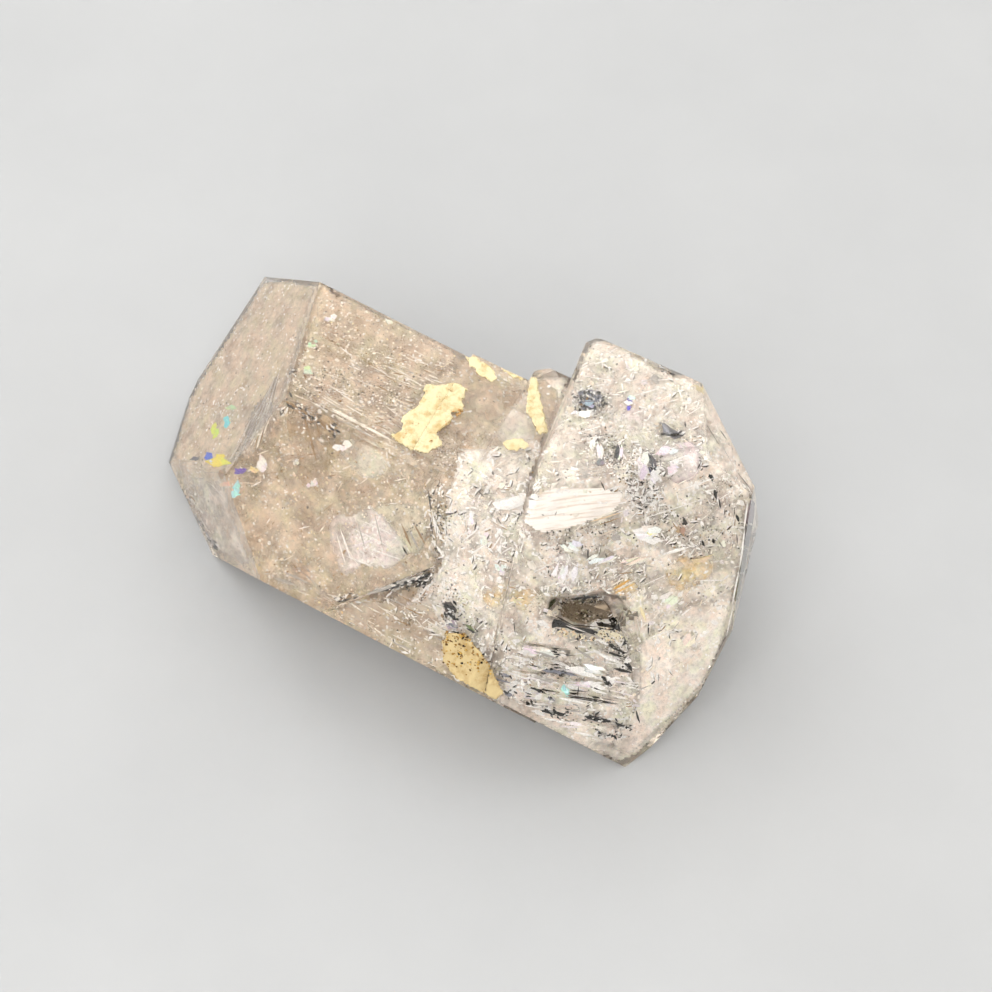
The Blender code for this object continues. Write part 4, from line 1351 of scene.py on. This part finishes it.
def inclusions(sight, bm):
    """All that is sealed inside the crystal."""
    material = bits_material()
    made = {
        "flakes_seen": cloud_flakes(sight),
        "flakes_hidden": hidden_flakes(sight, bm),
        "lines_drawn": drawn_lines(sight),
        "streak_swarms": sliver_swarms(sight),
        "crackles": crackles(sight),
        "wedge_striae": wedge_striae(sight),
        "rainbow_flakes": rainbow_flakes(sight),
    }
    for name, bits in made.items():
        keep_piece(name, bits.mesh(name), material)
    for number, (name, outline, depth, *look) in enumerate(VEILS):
        grid = CLOUD_GRID if name.startswith("cloud") else VEIL_GRID
        mesh = sheet_mesh(name, sight, outline, depth, seed=number, **grid)
        keep_piece(name, mesh, veil_material(name, *look))
    hidden = veil_material("veil_hidden", PINK_TONES, 1.2, (0.34, 0.58, 0.1, 0.85), 0.008, 0.07)
    keep_piece("veil_hidden", joined("veil_hidden", face_veils(sight, bm)), hidden)
    mesh = sheet_mesh("silver_plane", sight, SILVER_PLANE, SILVER_DEPTH, **SILVER_GRID)
    keep_piece("silver_plane", mesh, silver_material())


def clay(sight):
    """The yellow clay on the outside."""
    material = clay_material("clay", CLAY_PALE, CLAY_DEEP, CLAY_BROWN)
    for number, (name, thick, outline) in enumerate(CLAY_CRUSTS):
        crust = crust_mesh(name, sight, outline, thick, CRUST_PITCH, number)
        keep_piece(name, crust, material)
    film = crust_mesh("clay_film", sight, FILM_OUTLINE, FILM_THICK, FILM_PITCH, FILM_SEED, LONGEST_SIDE)
    stained = clay_material("clay_film", FILM_PALE, FILM_DEEP, FILM_BROWN)
    keep_piece("clay_film", film, stained)
    keep_piece("clay_grains", clay_grains(sight).mesh("clay_grains"), bits_material())


FLOOR_TONES = [(0.3, (0.25, 0.258, 0.266)), (0.7, (0.266, 0.274, 0.282))]
FLOOR_HALF = 1.5
FLOOR_DROP = 0.05 * MM


def floor():
    """A plain grey floor just under the crystal."""
    material, tree, shader = new_material("floor")
    tone = ramp(tree, noise_of(tree, place_of(tree), 0.05, 3.0), FLOOR_TONES)
    fill(tree, shader, {"Base Color": tone, "Roughness": 0.65})
    bm = bmesh.new()
    bmesh.ops.create_grid(bm, x_segments=8, y_segments=8, size=FLOOR_HALF)
    bmesh.ops.translate(bm, verts=bm.verts, vec=(0, 0, -FLOOR_DROP))
    mesh = mesh_of(bm, "floor")
    mesh.materials.append(material)
    piece = bpy.data.objects.new("floor", mesh)
    bpy.context.scene.collection.objects.link(piece)


LIGHT_SIZE = 0.30


def area_light(name, place, power, colour):
    """A round soft light that faces the crystal."""
    data = bpy.data.lights.new(name, "AREA")
    data.shape = "DISK"
    data.size = LIGHT_SIZE
    data.energy = power
    data.color = colour
    light = bpy.data.objects.new(name, data)
    light.location = place
    light.rotation_euler = Vector(place).to_track_quat("Z", "Y").to_euler()
    bpy.context.scene.collection.objects.link(light)


# The pale room: its colours by height, and its brightness
ROOM_TONES = [(0.0, (0.86, 0.83, 0.79)), (0.3, (0.86, 0.83, 0.79)), (0.9, (1.0, 0.97, 0.93))]
ROOM_STRENGTH = 2.1


def studio():
    """A soft pale room: a dome that is brighter above, and two large soft lights."""
    world = bpy.data.worlds.new("studio")
    world.use_nodes = True
    bpy.context.scene.world = world
    tree = world.node_tree
    sky = add(tree, "ShaderNodeTexCoord").outputs["Generated"]
    height = add(tree, "ShaderNodeSeparateXYZ", {"Vector": sky}).outputs["Z"]
    tone = ramp(tree, height, ROOM_TONES)
    fill(tree, tree.nodes["Background"], {"Color": tone, "Strength": ROOM_STRENGTH})
    area_light("key", (0.1, -0.26, 0.34), 1.6, (1.0, 0.97, 0.93))
    area_light("fill", (-0.3, 0.06, 0.22), 0.4, (0.95, 0.97, 1.0))


def camera():
    """The camera of the photograph."""
    data = bpy.data.cameras.new("photo_camera")
    data.sensor_width = SENSOR
    data.lens = SENSOR * FOCAL_PIXELS / PHOTO_SIDE
    data.clip_start = 0.005
    data.clip_end = 10.0
    piece = bpy.data.objects.new("photo_camera", data)
    turn = Matrix((RIGHT, UP, BACK)).transposed().to_4x4()
    piece.matrix_world = Matrix.Translation(EYE) @ turn
    bpy.context.scene.collection.objects.link(piece)
    bpy.context.scene.camera = piece


def render_care():
    """Enough bounces for stacked clear sheets, and a denoised picture."""
    cycles = bpy.context.scene.cycles
    cycles.use_denoising = True
    cycles.max_bounces = 20
    cycles.transmission_bounces = 20
    cycles.diffuse_bounces = 6
    cycles.glossy_bounces = 6
    cycles.transparent_max_bounces = 32
    cycles.sample_clamp_indirect = 6.0
    cycles.adaptive_threshold = 0.12
    cycles.adaptive_min_samples = 8
    bpy.context.scene.view_settings.view_transform = "Standard"


def main():
    camera()
    studio()
    floor()
    render_care()
    solid = clean_crystal()
    sight = Sight(solid)
    quartz_body()
    inclusions(sight, solid)
    clay(sight)
    solid.free()


main()
